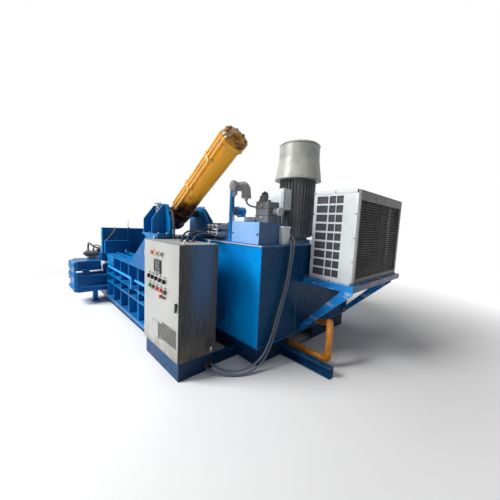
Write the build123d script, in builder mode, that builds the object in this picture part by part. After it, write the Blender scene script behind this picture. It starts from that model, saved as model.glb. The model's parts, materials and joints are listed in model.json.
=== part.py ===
from build123d import *
import math
import os

os.makedirs("parts", exist_ok=True)

# Recycling baler: a hinged-lid scrap press, its hydraulic power pack and its control cabinet.
# +X runs from the bale chamber towards the power pack, +Y away from the cabinet, +Z up.
# The origin is on the floor, in the press's middle plane, at the middle of a skid tie. Millimetres.

# General clearances
fit = 0.05
slide_gap = 0.3
door_gap = 3.0

# Press frame
skid_h = 110
skid_w = 140
skid_tie_w = 90
skid_tie_pitch = 500
skid_tie_count = 6
body_x0 = -1720
body_x1 = 550
rib_y = 460
rib_t = 20
rib_pitch = 405
first_rib_x = -1630
rib_depth = 110
wall_t = 30
liner_t = 20
low_top_z = 958
high_top_z = 1418
wing_x0 = -374
wing_x1 = 290
stringer_low_z = 453
stringer_high_z = 599
flange_t = 20
wall_y = rib_y - rib_depth
liner_y = wall_y - wall_t
box_half = liner_y - liner_t
box_floor_z = 350
floor_t = 40
ram_top_z = 750
lid_bottom_z = 765

# Bale chamber across the far end
chamber_w = 350
chamber_wall = 60
chamber_x1 = body_x0
chamber_x0 = chamber_x1 - 2 * chamber_wall - chamber_w
chamber_in_x1 = chamber_x1 - chamber_wall
chamber_in_x0 = chamber_x0 + chamber_wall
chamber_y0 = -920
chamber_roof_z = 760
chamber_roof_t = 60
chamber_base_z = 250
end_wall_top_z = 1450
end_wall_t = 40
end_wall_y = 530

# Lid and its hinge
hinge_x = 131
hinge_z = 1020
hinge_pin_r = 35
knuckle_r = 70
lid_x0 = -1672
lid_x1 = 60
lid_half = box_half - 8
lid_plate_t = 45
lid_rib_t = 20
lid_rib_top_z = 985
lid_cross_drop = 40
lid_open_deg = 65

# Lid cylinder: the trunnion, its axis and the rod eye
trunnion_x = 350
trunnion_z = 1760
rod_reach = 1183
tilt_deg = 33.5
barrel_r = 145
barrel_up = 1480
barrel_down = 240
cylinder_bore_r = 125
trunnion_r = 60
rod_r = 62
eye_t = 90
eye_r = 95
lug_t = 40
clevis_pin_r = 45
pin_head_r = 59
pin_head_t = 12
rod_neck = 140
tang_w = 120
slot_half = 27
slot_clear = 1.5

# Pedestals
pedestal_y = 250
pedestal_t = 40
pedestal_base_z = high_top_z + 20
pedestal_base_t = 25
pedestal_top_z = 1845

# Feed ram and its two-stage cylinder
feed_z = 550
ram_x0 = 80
ram_len = 410
ram_wall = 40
ram_front_t = 60
feed_barrel_r = 120
feed_barrel_x0 = 200
feed_barrel_x1 = 1290
stage_r = 95
feed_rod_r = 65
stage_inner_r = feed_rod_r + fit
feed_stroke = 1800

# Main ram and cylinder
main_z = 555
main_face_y = 312
main_ram_len = 380
main_barrel_r = 150
main_barrel_y0 = 760
main_barrel_y1 = 2150
main_rod_r = 80

# Control cabinet
cab_x0 = 570
cab_x1 = 1443
cab_y0 = -583
cab_y1 = -130
cab_z0 = 200
cab_z1 = 1401
cab_wall = 4
cab_door_t = 22

# Oil tank
tank_x0 = 566
tank_x1 = 1750
tank_y0 = 220
tank_y1 = 2390
tank_z0 = 226
tank_z1 = 1402
tank_wall = 8
tank_top_t = 14
plinth_inset = 45
plinth_tie_in = 20

# Motor
motor_x = 1300
motor_y = 1390
motor_fin_r = 265
motor_z1 = 2350

# Cooler
cooler_x0 = 1794
cooler_x1 = 2364
cooler_y0 = 1105
cooler_y1 = 2640
cooler_z0 = 970
cooler_z1 = 2080
cooler_wall = 5
shelf_x1 = 2418
shelf_y0 = 1038
shelf_leg = 70
shelf_t = 8
strut_foot_z = 327


def block(x0, x1, y0, y1, z0, z1, mode=Mode.ADD):
    """A cuboid between two corners, in the sub-part that is being built."""
    with Locations(((x0 + x1) / 2, (y0 + y1) / 2, (z0 + z1) / 2)):
        Box(x1 - x0, y1 - y0, z1 - z0, mode=mode)


def rod_y(x, z, y0, y1, r, mode=Mode.ADD):
    """A round bar or bore along Y."""
    with Locations(Location((x, (y0 + y1) / 2, z), (90, 0, 0))):
        Cylinder(r, y1 - y0, mode=mode)


def rod_x(y, z, x0, x1, r, mode=Mode.ADD):
    """A round bar or bore along X."""
    with Locations(Location(((x0 + x1) / 2, y, z), (0, 90, 0))):
        Cylinder(r, x1 - x0, mode=mode)


def rod_z(x, y, z0, z1, r, mode=Mode.ADD):
    """A round bar or bore along Z."""
    with Locations((x, y, (z0 + z1) / 2)):
        Cylinder(r, z1 - z0, mode=mode)


def side_plate(points, y0, y1, mode=Mode.ADD):
    """A plate cut to an XZ outline, standing between y0 and y1."""
    with BuildSketch(Plane.XZ.offset(-y0)) as outline:
        with BuildLine():
            Polyline(*points, close=True)
        make_face()
    extrude(outline.sketch, amount=-(y1 - y0), mode=mode)


def cross_plate(points, x0, x1, mode=Mode.ADD):
    """A plate cut to a YZ outline, standing between x0 and x1."""
    with BuildSketch(Plane.YZ.offset(x0)) as outline:
        with BuildLine():
            Polyline(*points, close=True)
        make_face()
    extrude(outline.sketch, amount=x1 - x0, mode=mode)


def save(part, name):
    """Label a finished piece and write it."""
    part.label = name
    export_step(part, f"parts/{name}.step")


# Skid under the press: two I-beams and their cross members
beam_y = wall_y - 20
with BuildPart() as press_skid:
    for side in (-1, 1):
        with BuildSketch(Plane.YZ.offset(chamber_x0)):
            with Locations((side * beam_y, skid_h / 2)):
                Rectangle(skid_w, skid_h)
            for edge in (-1, 1):
                with Locations((side * beam_y + edge * skid_w * 0.31, skid_h / 2)):
                    Rectangle(skid_w * 0.38, skid_h * 0.68, mode=Mode.SUBTRACT)
        extrude(amount=body_x1 - chamber_x0)
    for step in range(skid_tie_count):
        middle = (1 - step) * skid_tie_pitch
        block(middle - skid_tie_w / 2, middle + skid_tie_w / 2, -beam_y, beam_y, 0, skid_h * 0.84)
save(press_skid.part, "press_skid")


# Side frames: a thick wall plate, a raised cheek, upright ribs, stringers and flanges
cheek = [
    (body_x0, skid_h + floor_t),
    (body_x1, skid_h + floor_t),
    (body_x1, high_top_z),
    (wing_x1, high_top_z),
    (wing_x0, low_top_z),
    (body_x0, low_top_z),
]


def side_frame(side):
    """One side of the press, on the -Y side for side -1."""
    inner, outer = side * liner_y, side * wall_y
    edge = side * rib_y
    low, high = min(inner, outer), max(inner, outer)
    rib_lo, rib_hi = min(outer, edge), max(outer, edge)
    skin_lo, skin_hi = min(edge, edge - side * rib_t), max(edge, edge - side * rib_t)
    with BuildPart() as frame_side:
        side_plate(cheek, low, high)
        block(body_x0, body_x1, rib_lo, rib_hi, low_top_z - flange_t, low_top_z)
        block(body_x0, body_x1, rib_lo, rib_hi, skid_h + floor_t, skid_h + floor_t + flange_t)
        for z in (stringer_low_z, stringer_high_z):
            block(body_x0, body_x1, rib_lo, rib_hi, z - flange_t / 2, z + flange_t / 2)
        rib_x = first_rib_x
        while rib_x < body_x1:
            block(rib_x, rib_x + rib_t, rib_lo, rib_hi, skid_h + floor_t, low_top_z)
            rib_x += rib_pitch
        wing = [(wing_x0, low_top_z), (body_x1, low_top_z), (body_x1, high_top_z), (wing_x1, high_top_z)]
        side_plate(wing, skin_lo, skin_hi)
        block(wing_x1, body_x1, rib_lo, rib_hi, high_top_z - flange_t, high_top_z)
        block(body_x1 - rib_t, body_x1, rib_lo, rib_hi, low_top_z, high_top_z)
        rod_y(hinge_x, hinge_z, low, high, hinge_pin_r + fit, mode=Mode.SUBTRACT)
    return frame_side.part


near_side_frame = side_frame(-1)
save(near_side_frame, "near_side_frame")
far_side_frame = side_frame(1)
save(far_side_frame, "far_side_frame")

# Floor of the press: a thick plate on the skid, carried up on bearers to the box floor
floor_top = box_floor_z - liner_t
with BuildPart() as box_floor:
    block(body_x0, body_x1, -rib_y, rib_y, skid_h, skid_h + floor_t)
    block(body_x0, body_x1, -liner_y, liner_y, floor_top - floor_t, floor_top)
    for y in (-240, -80, 80, 240):
        block(body_x0, body_x1, y - 12, y + 12, skid_h + floor_t, floor_top - floor_t)
save(box_floor.part, "box_floor")

# Wear liners bolted to the floor and both walls of the charging box
with BuildPart() as wear_liners:
    block(body_x0, body_x1 - 60, -liner_y, liner_y, floor_top, box_floor_z)
    for side in (-1, 1):
        low, high = sorted((side * box_half, side * liner_y))
        block(body_x0, body_x1 - 60, low, high, box_floor_z, ram_top_z + 5)
save(wear_liners.part, "wear_liners")

# Rear yoke: the roof over the parked ram, the thick plate that holds the feed cylinder,
# and the bridge plate on top that both pedestals stand on
bridge_x0 = 150
bridge_x1 = 640
yoke_t = 50
yoke_x0 = body_x1 - yoke_t
roof_x0 = 110
with BuildPart() as rear_yoke:
    block(yoke_x0, body_x1, -liner_y, liner_y, floor_top, high_top_z)
    block(roof_x0, yoke_x0, -liner_y, liner_y, lid_bottom_z, lid_bottom_z + 30)
    for y in (-200, 0, 200):
        gusset = [(roof_x0 + 120, lid_bottom_z + 30), (yoke_x0, lid_bottom_z + 30), (yoke_x0, high_top_z - 120)]
        side_plate(gusset, y - 10, y + 10)
    rod_x(0, feed_z, yoke_x0, body_x1, feed_barrel_r + fit, mode=Mode.SUBTRACT)
    block(bridge_x0 + 80, bridge_x1, -rib_y, rib_y, high_top_z, pedestal_base_z)
save(rear_yoke.part, "rear_yoke")


# Pedestals: a bearing plate with a bored boss, two slanted gussets and a foot
def pedestal(side):
    """One trunnion pedestal."""
    inner = side * pedestal_y
    outer = side * (pedestal_y + pedestal_t)
    edge = side * rib_y
    foot_top = pedestal_base_z + pedestal_base_t
    low, high = sorted((inner, outer))
    with BuildPart() as stand:
        foot_lo, foot_hi = sorted((inner - side * 20, edge))
        block(bridge_x0, bridge_x1, foot_lo, foot_hi, pedestal_base_z, foot_top)
        with BuildSketch(Plane.XZ.offset(-low)):
            with BuildLine():
                Polyline(
                    (bridge_x0 + 10, foot_top),
                    (bridge_x0 + 10, pedestal_top_z - 170),
                    (bridge_x0 + 110, pedestal_top_z),
                    (bridge_x1 - 150, pedestal_top_z),
                    (bridge_x1 - 20, pedestal_top_z - 200),
                    (bridge_x1 - 20, foot_top),
                    close=True,
                )
            make_face()
            fillet(vertices().group_by(Axis.Y)[-1], 60)
        extrude(amount=-(high - low))
        boss_lo, boss_hi = sorted((outer, outer + side * 30))
        rod_y(trunnion_x, trunnion_z, boss_lo, boss_hi, trunnion_r + 32)
        for x in (190, 464):
            gusset = [
                (outer, foot_top),
                (edge, foot_top),
                (edge, 1645),
                (side * (pedestal_y + 75), 1825),
                (outer, 1825),
            ]
            cross_plate(gusset, x, x + 16)
        rod_y(trunnion_x, trunnion_z, min(low, boss_lo), max(high, boss_hi), trunnion_r + fit, mode=Mode.SUBTRACT)
    return stand.part


near_pedestal = pedestal(-1)
save(near_pedestal, "near_pedestal")
far_pedestal = pedestal(1)
save(far_pedestal, "far_pedestal")

# Bale chamber: a thick square tube across the far end with tapered buttress ribs, the hopper's
# end wall on top of it, the door's hinge pins and the latch bracket
chamber_y1 = 720
roof_top = chamber_roof_z + chamber_roof_t
door_hinge_x = chamber_x0 - 26
door_hinge_y = chamber_y0 - 32
door_hinge_r = 34
door_pin_r = 14
door_levels = (524, 716)
latch_z = 640
latch_y = chamber_y0 + 90
latch_r = 16
with BuildPart() as bale_chamber:
    for x in (chamber_x0, chamber_in_x1):
        if x == chamber_x0:
            block(x, x + chamber_wall, chamber_y0, chamber_y1, chamber_base_z, chamber_roof_z + chamber_roof_t)
        else:
            block(x, x + chamber_wall, chamber_y0, -box_half, chamber_base_z, chamber_roof_z + chamber_roof_t)
            block(x, x + chamber_wall, box_half, chamber_y1, chamber_base_z, chamber_roof_z + chamber_roof_t)
            block(x, x + chamber_wall, -box_half, box_half, ram_top_z + 5, chamber_roof_z + chamber_roof_t)
            block(x, x + chamber_wall, -box_half, box_half, chamber_base_z, box_floor_z)
    block(chamber_in_x0, chamber_in_x1, chamber_y0, chamber_y1, chamber_roof_z, chamber_roof_z + chamber_roof_t)
    block(chamber_in_x0, chamber_in_x1, chamber_y0, chamber_y1, chamber_base_z, box_floor_z)
    block(chamber_x0, chamber_x1, -rib_y, rib_y, skid_h, chamber_base_z)
    for z in (chamber_base_z + 90, chamber_base_z + 300):
        with BuildSketch(Plane.XY.offset(z)):
            with BuildLine():
                Polyline(
                    (chamber_x1, chamber_y0 + 30),
                    (chamber_x1, -rib_y),
                    (chamber_x1 + 110, -rib_y),
                    close=True,
                )
            make_face()
        extrude(amount=28)
    hopper_wall = [
        (-end_wall_y, low_top_z),
        (end_wall_y, low_top_z),
        (end_wall_y, end_wall_top_z),
        (-end_wall_y, end_wall_top_z),
    ]
    cross_plate(hopper_wall, body_x0 - end_wall_t, body_x0)
    block(body_x0, body_x0 + 22, -end_wall_y + 40, -70, low_top_z, 1200)
    block(body_x0, body_x0 + 22, -70, -40, low_top_z, 1465)
    for y in (-300, 0, 300):
        brace = [(body_x0 - end_wall_t, low_top_z), (body_x0 - 330, low_top_z), (body_x0 - end_wall_t, 1380)]
        side_plate(brace, y - 10, y + 10)
    block(chamber_x0, body_x0, -end_wall_y, end_wall_y, roof_top, low_top_z)
    block(chamber_x1, chamber_x1 + 50, latch_y - 20, latch_y + 90, latch_z - 40, latch_z + 40)
    rod_y(chamber_x1 + 25, latch_z, latch_y - 20, latch_y + 90, latch_r + fit, mode=Mode.SUBTRACT)
    for z in door_levels:
        for end in (z - 40 - slide_gap - 24, z + 40 + slide_gap):
            rod_z(door_hinge_x, door_hinge_y, end, end + 24, door_hinge_r)
            block(door_hinge_x - 16, chamber_x0 + 1, door_hinge_y, chamber_y0 + 120, end, end + 24)
        rod_z(door_hinge_x, door_hinge_y, z - 70, z + 70, door_pin_r)
save(bale_chamber.part, "bale_chamber")

# Outlet door on the -Y end of the bale chamber, hung on two knuckles
door_t = 50
door_back_y = chamber_y0 - slide_gap
with BuildPart() as outlet_door:
    block(chamber_x0 + 14, chamber_x1, door_back_y - door_t, door_back_y, chamber_base_z + 10, chamber_roof_z + 50)
    for z in (chamber_base_z + 90, chamber_base_z + 300, chamber_base_z + 470):
        rib = [
            (door_back_y - door_t, chamber_x0 + 40),
            (door_back_y - door_t, chamber_x1 - 20),
            (door_back_y - door_t - 45, chamber_x1 - 120),
            (door_back_y - door_t - 45, chamber_x0 + 140),
        ]
        with BuildSketch(Plane.XY.offset(z)):
            with BuildLine():
                Polyline(*[(x, y) for y, x in rib], close=True)
            make_face()
        extrude(amount=24)
    for z in door_levels:
        rod_z(door_hinge_x, door_hinge_y, z - 40, z + 40, door_hinge_r)
        block(door_hinge_x, chamber_x0 + 16, door_hinge_y - 18, door_hinge_y + 18, z - 40, z + 40)
        rod_z(door_hinge_x, door_hinge_y, z - 40, z + 40, door_pin_r + fit, mode=Mode.SUBTRACT)
save(outlet_door.part, "outlet_door")

# Swing bolt that keeps the outlet door shut, with its bent handle
with BuildPart() as latch_bolt:
    rod_y(chamber_x1 + 25, latch_z, chamber_y0 - 30, latch_y + 320, latch_r)
    rod_z(chamber_x1 + 25, latch_y + 300, latch_z, latch_z + 120, 12)
save(latch_bolt.part, "latch_bolt")

# Feed ram: a hollow steel box that parks under the roof, with the inner rod of its cylinder
feed_bore_y = box_half - 8
ram_x1 = ram_x0 + ram_len
with BuildPart() as feed_ram:
    block(ram_x0, ram_x1, -feed_bore_y, feed_bore_y, box_floor_z + slide_gap, ram_top_z)
    block(
        ram_x0 + ram_front_t,
        ram_x1,
        -feed_bore_y + ram_wall,
        feed_bore_y - ram_wall,
        box_floor_z + ram_wall,
        ram_top_z - ram_wall,
        mode=Mode.SUBTRACT,
    )
    rod_x(0, feed_z, ram_x0 + ram_front_t, 1150, feed_rod_r)
    for z in (420, feed_z, 680):
        block(ram_x0 - 8, ram_x0, -240, 240, z - 14, z + 14)
save(feed_ram.part, "feed_ram")

with BuildPart() as feed_stage:
    rod_x(0, feed_z, 190, 1200, stage_r)
    rod_x(0, feed_z, 190, 1160, stage_inner_r, mode=Mode.SUBTRACT)
save(feed_stage.part, "feed_stage")

with BuildPart() as feed_barrel:
    rod_x(0, feed_z, feed_barrel_x0, feed_barrel_x1, feed_barrel_r)
    rod_x(0, feed_z, yoke_x0 - 30, yoke_x0, feed_barrel_r + 30)
    rod_z(feed_barrel_x1 - 90, 0, feed_z + feed_barrel_r - 10, feed_z + feed_barrel_r + 30, 28)
    rod_x(0, feed_z, feed_barrel_x0, feed_barrel_x1 - 40, stage_r + fit, mode=Mode.SUBTRACT)
save(feed_barrel.part, "feed_barrel")

# Main ram, its rod and its flanged cylinder
main_x = (chamber_in_x0 + chamber_in_x1) / 2
main_half = chamber_w / 2 - 5
main_back_y = main_face_y + main_ram_len
main_bore_r = 120
piston_y = 1995
with BuildPart() as main_ram:
    block(
        main_x - main_half, main_x + main_half, main_face_y, main_back_y, box_floor_z + slide_gap, ram_top_z
    )
    block(
        main_x - main_half + ram_wall,
        main_x + main_half - ram_wall,
        main_face_y + ram_front_t,
        main_back_y,
        box_floor_z + ram_wall,
        ram_top_z - ram_wall,
        mode=Mode.SUBTRACT,
    )
    rod_y(main_x, main_z, main_face_y + ram_front_t, piston_y, main_rod_r)
    rod_y(main_x, main_z, piston_y, piston_y + 90, main_bore_r - fit)
save(main_ram.part, "main_ram")

flange_y0 = chamber_y1
with BuildPart() as main_cylinder:
    block(chamber_x0, chamber_x1, flange_y0, flange_y0 + 60, chamber_base_z, chamber_roof_z + chamber_roof_t)
    rod_y(main_x, main_z, flange_y0 + 60, main_barrel_y1, main_barrel_r)
    rod_y(main_x, main_z, flange_y0 + 60, main_barrel_y1 - 50, main_bore_r, mode=Mode.SUBTRACT)
    rod_y(main_x, main_z, flange_y0, flange_y0 + 60, main_rod_r + fit, mode=Mode.SUBTRACT)
    for y in (flange_y0 + 110, main_barrel_y1 - 90):
        rod_z(main_x, y, main_z + main_barrel_r - 10, main_z + main_barrel_r + 35, 30)
    for x in (chamber_x0 + 35, chamber_x1 - 35):
        for z in (chamber_base_z + 40, chamber_base_z + 200, chamber_base_z + 370, chamber_base_z + 530):
            rod_y(x, z, flange_y0 + 60, flange_y0 + 85, 20)
save(main_cylinder.part, "main_cylinder")

# Valve block with its spool cylinder on the chamber roof
with BuildPart() as chamber_valve:
    block(chamber_x0 + 60, chamber_x0 + 220, -700, -560, roof_top, roof_top + 60)
    rod_y(chamber_x0 + 140, roof_top + 110, -740, -540, 55)
    rod_y(chamber_x0 + 140, roof_top + 110, -770, -740, 30)
    for y in (-690, -600):
        rod_z(chamber_x0 + 140, y, roof_top + 150, roof_top + 190, 18)
save(chamber_valve.part, "chamber_valve")

# Lid: a thick press plate stiffened by a grid of ribs, hung on three bored arms
eye_x = trunnion_x - rod_reach * math.cos(math.radians(tilt_deg))
eye_z = trunnion_z - rod_reach * math.sin(math.radians(tilt_deg))
lid_plate_z = lid_bottom_z + lid_plate_t
lug_gap = eye_t / 2 + 1
arm_t = 60
with BuildPart() as lid:
    block(lid_x0, lid_x1, -lid_half, lid_half, lid_bottom_z, lid_plate_z)
    for y in (-lid_half, -100 - lid_rib_t / 2, 100 - lid_rib_t / 2, lid_half - lid_rib_t):
        block(lid_x0, lid_x1, y, y + lid_rib_t, lid_plate_z, lid_rib_top_z)
    cross_x = lid_x0
    while cross_x < lid_x1:
        block(cross_x, cross_x + lid_rib_t, -lid_half, lid_half, lid_plate_z, lid_rib_top_z - lid_cross_drop)
        cross_x += 244
    for y in (-lug_gap - lug_t, lug_gap):
        lug = [
            (eye_x - 260, lid_plate_z),
            (eye_x + 260, lid_plate_z),
            (eye_x + 80, eye_z + 10),
            (eye_x + 50, eye_z + 62),
            (eye_x, eye_z + 80),
            (eye_x - 50, eye_z + 62),
            (eye_x - 80, eye_z + 10),
        ]
        side_plate(lug, y, y + lug_t)
    rod_y(eye_x, eye_z, -lug_gap - lug_t, lug_gap + lug_t, clevis_pin_r + fit, mode=Mode.SUBTRACT)
    for side in (-1, 1):
        low, high = sorted((side * (lug_gap + lug_t), side * (lug_gap + lug_t + pin_head_t + slide_gap)))
        rod_y(eye_x, eye_z, low, high, pin_head_r + slide_gap, mode=Mode.SUBTRACT)
    for y in (-240, 0, 240):
        arm = [
            (lid_x1 - 210, lid_plate_z),
            (lid_x1, lid_plate_z),
            (lid_x1, 905),
            (hinge_x + 55, hinge_z - 44),
            (hinge_x, hinge_z),
            (hinge_x - 40, hinge_z + 57),
            (lid_x1 - 210, 985),
        ]
        side_plate(arm, y - arm_t / 2, y + arm_t / 2)
        rod_y(hinge_x, hinge_z, y - arm_t / 2, y + arm_t / 2, knuckle_r)
    rod_y(hinge_x, hinge_z, -300, 300, hinge_pin_r + fit, mode=Mode.SUBTRACT)
save(lid.part, "lid")

with BuildPart() as lid_hinge_pin:
    rod_y(hinge_x, hinge_z, -wall_y, wall_y, hinge_pin_r)
    for side in (-1, 1):
        low, high = sorted((side * wall_y, side * (wall_y + 14)))
        rod_y(hinge_x, hinge_z, low, high, 55)
save(lid_hinge_pin.part, "lid_hinge_pin")

with BuildPart() as clevis_pin:
    rod_y(eye_x, eye_z, -lug_gap - lug_t, lug_gap + lug_t, clevis_pin_r)
    for side in (-1, 1):
        low, high = sorted((side * (lug_gap + lug_t), side * (lug_gap + lug_t + pin_head_t)))
        rod_y(eye_x, eye_z, low, high, pin_head_r)
save(clevis_pin.part, "clevis_pin")

# Lid cylinder, laid out along its own axis from the trunnion down towards the lid
tilt = math.radians(tilt_deg)
trunnion = Vector(trunnion_x, 0, trunnion_z)
down = Vector(-math.cos(tilt), 0, -math.sin(tilt))
above = Vector(-math.sin(tilt), 0, math.cos(tilt))


def along(s):
    """The plane square to the cylinder's axis, s below the trunnion."""
    return Plane(origin=trunnion + down * s, x_dir=(0, 1, 0), z_dir=down)


def tube_length(s0, s1, r, mode=Mode.ADD):
    """A round length of the cylinder between two distances below the trunnion."""
    with BuildSketch(along(s0)) as ring:
        Circle(r)
    extrude(ring.sketch, amount=s1 - s0, mode=mode)


barrel_bottom = barrel_down
barrel_top = -barrel_up
gland_t = 50
with BuildPart() as lid_barrel:
    tube_length(barrel_top, barrel_bottom, barrel_r)
    tube_length(-80, 80, barrel_r + 22)
    tube_length(barrel_bottom - 40, barrel_bottom, barrel_r + 16)
    tube_length(barrel_top, barrel_top + 50, barrel_r + 16)
    rod_y(trunnion_x, trunnion_z, -(pedestal_y + pedestal_t + 42), pedestal_y + pedestal_t + 42, trunnion_r)
    tube_length(barrel_top, barrel_bottom - gland_t, cylinder_bore_r, mode=Mode.SUBTRACT)
    tube_length(barrel_bottom - gland_t, barrel_bottom, rod_r + fit, mode=Mode.SUBTRACT)
save(lid_barrel.part, "lid_barrel")

cap_t = 50
with BuildPart() as barrel_cap:
    tube_length(barrel_top - cap_t, barrel_top, barrel_r + 16)
    with BuildSketch(along(barrel_top - cap_t)) as bolt_ring:
        with PolarLocations(barrel_r - 12, 8):
            RegularPolygon(16, 6)
    extrude(bolt_ring.sketch, amount=-18)
    tube_length(barrel_top - cap_t - 40, barrel_top - cap_t, 45)
save(barrel_cap.part, "barrel_cap")

with BuildPart() as lid_rod:
    tube_length(60, rod_reach - rod_neck, rod_r)
    tube_length(60, 150, cylinder_bore_r - fit)
    eye_plane = Plane(origin=(eye_x, eye_t / 2, eye_z), x_dir=down, z_dir=(0, 1, 0))
    with BuildSketch(eye_plane) as eye_face:
        SlotCenterToCenter(2 * slot_half, 2 * eye_r)
        with Locations((-rod_neck / 2, 0)):
            Rectangle(rod_neck, tang_w)
    extrude(eye_face.sketch, amount=-eye_t)
    with BuildSketch(eye_plane) as eye_slot:
        SlotCenterToCenter(2 * slot_half, 2 * (clevis_pin_r + slot_clear))
    extrude(eye_slot.sketch, amount=-eye_t, mode=Mode.SUBTRACT)
save(lid_rod.part, "lid_rod")


def pipe(points, r, bends):
    """A round pipe along a polyline with rounded corners."""
    with BuildLine() as run:
        FilletPolyline(*points, radius=bends)
    with BuildSketch(Plane(origin=run.line @ 0, z_dir=run.line % 0)) as section:
        Circle(r)
    sweep(section.sketch, path=run.line)


barrel_pipe_r = 15
pipe_rise = barrel_r + 62
with BuildPart() as barrel_pipe:
    route = [
        trunnion + down * (barrel_top - cap_t / 2) + above * (barrel_r + 16),
        trunnion + down * (barrel_top - cap_t / 2) + above * pipe_rise,
        trunnion + down * (barrel_bottom - 22) + above * pipe_rise,
        trunnion + down * (barrel_bottom - 22) + above * (barrel_r + 16),
    ]
    pipe(route, barrel_pipe_r, 40 - barrel_pipe_r)
save(barrel_pipe.part, "barrel_pipe")

# Skids under the power pack: cabinet plinth, tank plinth and the outrigger beam
beam_x0 = tank_x1 - plinth_inset
outrigger_y0 = 700
outrigger_y1 = 780
outrigger_h = 120
with BuildPart() as pack_skid:
    block(tank_x0 + plinth_inset, beam_x0, tank_y0 + plinth_inset, tank_y1 - plinth_inset, 0, tank_z0)
    block(
        tank_x0 + plinth_inset + 12,
        beam_x0 - 12,
        tank_y0 + plinth_inset + 12,
        tank_y1 - plinth_inset - 12,
        0,
        tank_z0 - 16,
        mode=Mode.SUBTRACT,
    )
    block(beam_x0 - 12, beam_x0, 830, 1420, 10, tank_z0 - 30, mode=Mode.SUBTRACT)
    block(cab_x0 + plinth_tie_in, cab_x1 - plinth_tie_in, cab_y0 + 20, cab_y1 - 20, 0, cab_z0)
    block(cab_x0 + 32, cab_x1 - 32, cab_y0 + 32, cab_y1 - 32, 0, cab_z0 - 12, mode=Mode.SUBTRACT)
    for x in (700, 1300):
        block(x, x + 80, cab_y1 - 20, tank_y0 + plinth_inset, 0, 100)
    for end_x, y in ((cab_x0 + plinth_tie_in, -beam_y), (tank_x0 + plinth_inset, beam_y)):
        block(body_x1, end_x, y - skid_w / 2, y + skid_w / 2, 0, skid_h * 0.84)
    block(beam_x0, 2395, outrigger_y0, outrigger_y1, 0, outrigger_h)
    block(beam_x0, 2395, outrigger_y0 - 1, outrigger_y1 - 20, 14, outrigger_h - 14, mode=Mode.SUBTRACT)
save(pack_skid.part, "pack_skid")

# Oil tank, an open box of sheet, and its flat cover with the valve stand welded on
stand_top_z = 1658
with BuildPart() as oil_tank:
    block(tank_x0, tank_x1, tank_y0, tank_y1, tank_z0, tank_z1 - tank_top_t)
    block(
        tank_x0 + tank_wall,
        tank_x1 - tank_wall,
        tank_y0 + tank_wall,
        tank_y1 - tank_wall,
        tank_z0 + tank_wall,
        tank_z1 - tank_top_t,
        mode=Mode.SUBTRACT,
    )
save(oil_tank.part, "oil_tank")

shaft_r = 35
cover_lip = 12
with BuildPart() as tank_cover:
    block(
        tank_x0 - cover_lip,
        tank_x1 + cover_lip,
        tank_y0 - cover_lip,
        tank_y1 + cover_lip,
        tank_z1 - tank_top_t,
        tank_z1,
    )
    rod_z(motor_x, motor_y, tank_z1 - tank_top_t, tank_z1, shaft_r + 15, mode=Mode.SUBTRACT)
    block(1210, 1680, 235, 700, tank_z1, stand_top_z)
save(tank_cover.part, "tank_cover")

# Pump under the cover, with its suction strainer
pump_top = tank_z1 - tank_top_t
with BuildPart() as pump:
    rod_z(motor_x, motor_y, pump_top - 20, pump_top, 130)
    rod_z(motor_x, motor_y, pump_top - 300, pump_top - 20, 95)
    rod_z(motor_x, motor_y, pump_top - 480, pump_top - 300, 60)
    rod_z(motor_x, motor_y, pump_top - 120, pump_top, shaft_r + fit, mode=Mode.SUBTRACT)
save(pump.part, "pump")

# Motor: flanged foot, finned frame, end shields and a flared fan cowl
fin_depth = 33
fin_core_r = motor_fin_r - fin_depth
fin_count = 36
fin_z0 = 1500
fin_z1 = 2330
with BuildPart() as motor_frame:
    rod_z(motor_x, motor_y, tank_z1, tank_z1 + 30, motor_fin_r - 25)
    rod_z(motor_x, motor_y, tank_z1 + 30, fin_z0, motor_fin_r - 75)
    rod_z(motor_x, motor_y, fin_z0 - 20, fin_z0 + 25, motor_fin_r - 15)
    rod_z(motor_x, motor_y, fin_z0, fin_z1, fin_core_r)
    rod_z(motor_x, motor_y, fin_z1 - 30, fin_z1 + 20, motor_fin_r - 10)
    with BuildSketch(Plane.XY.offset(fin_z0)):
        with Locations((motor_x, motor_y)):
            with PolarLocations((fin_core_r + motor_fin_r) / 2 - 4, fin_count):
                Rectangle(motor_fin_r - fin_core_r + 8, 7)
    extrude(amount=fin_z1 - fin_z0)
    rod_z(motor_x, motor_y, tank_z1, fin_z1 + 20, shaft_r + fit, mode=Mode.SUBTRACT)
save(motor_frame.part, "motor_frame")

cowl_z0 = 2300
cowl_z1 = 2820
with BuildPart() as motor_cowl:
    with BuildSketch(Plane.XZ.offset(-motor_y)):
        with BuildLine():
            Polyline(
                (motor_x + motor_fin_r + slide_gap, cowl_z0),
                (motor_x + 336, cowl_z0),
                (motor_x + 330, cowl_z0 + 60),
                (motor_x + 296, cowl_z0 + 300),
                (motor_x + 292, cowl_z1 - 30),
                (motor_x + 270, cowl_z1),
                (motor_x, cowl_z1),
                (motor_x, cowl_z1 - 6),
                (motor_x + 266, cowl_z1 - 6),
                (motor_x + 286, cowl_z1 - 32),
                (motor_x + 290, cowl_z0 + 298),
                (motor_x + 324, cowl_z0 + 58),
                (motor_x + 328, cowl_z0 + 8),
                (motor_x + motor_fin_r + slide_gap, cowl_z0 + 8),
                close=True,
            )
        make_face()
    revolve(axis=Axis((motor_x, motor_y, 0), (0, 0, 1)))
    with BuildSketch(Plane.XY.offset(cowl_z1 - 6)) as grille:
        for ring_r, holes in ((70, 8), (120, 14), (170, 20), (220, 26)):
            with Locations((motor_x, motor_y)):
                with PolarLocations(ring_r, holes):
                    Rectangle(26, 12)
    extrude(grille.sketch, amount=6, mode=Mode.SUBTRACT)
save(motor_cowl.part, "motor_cowl")

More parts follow.
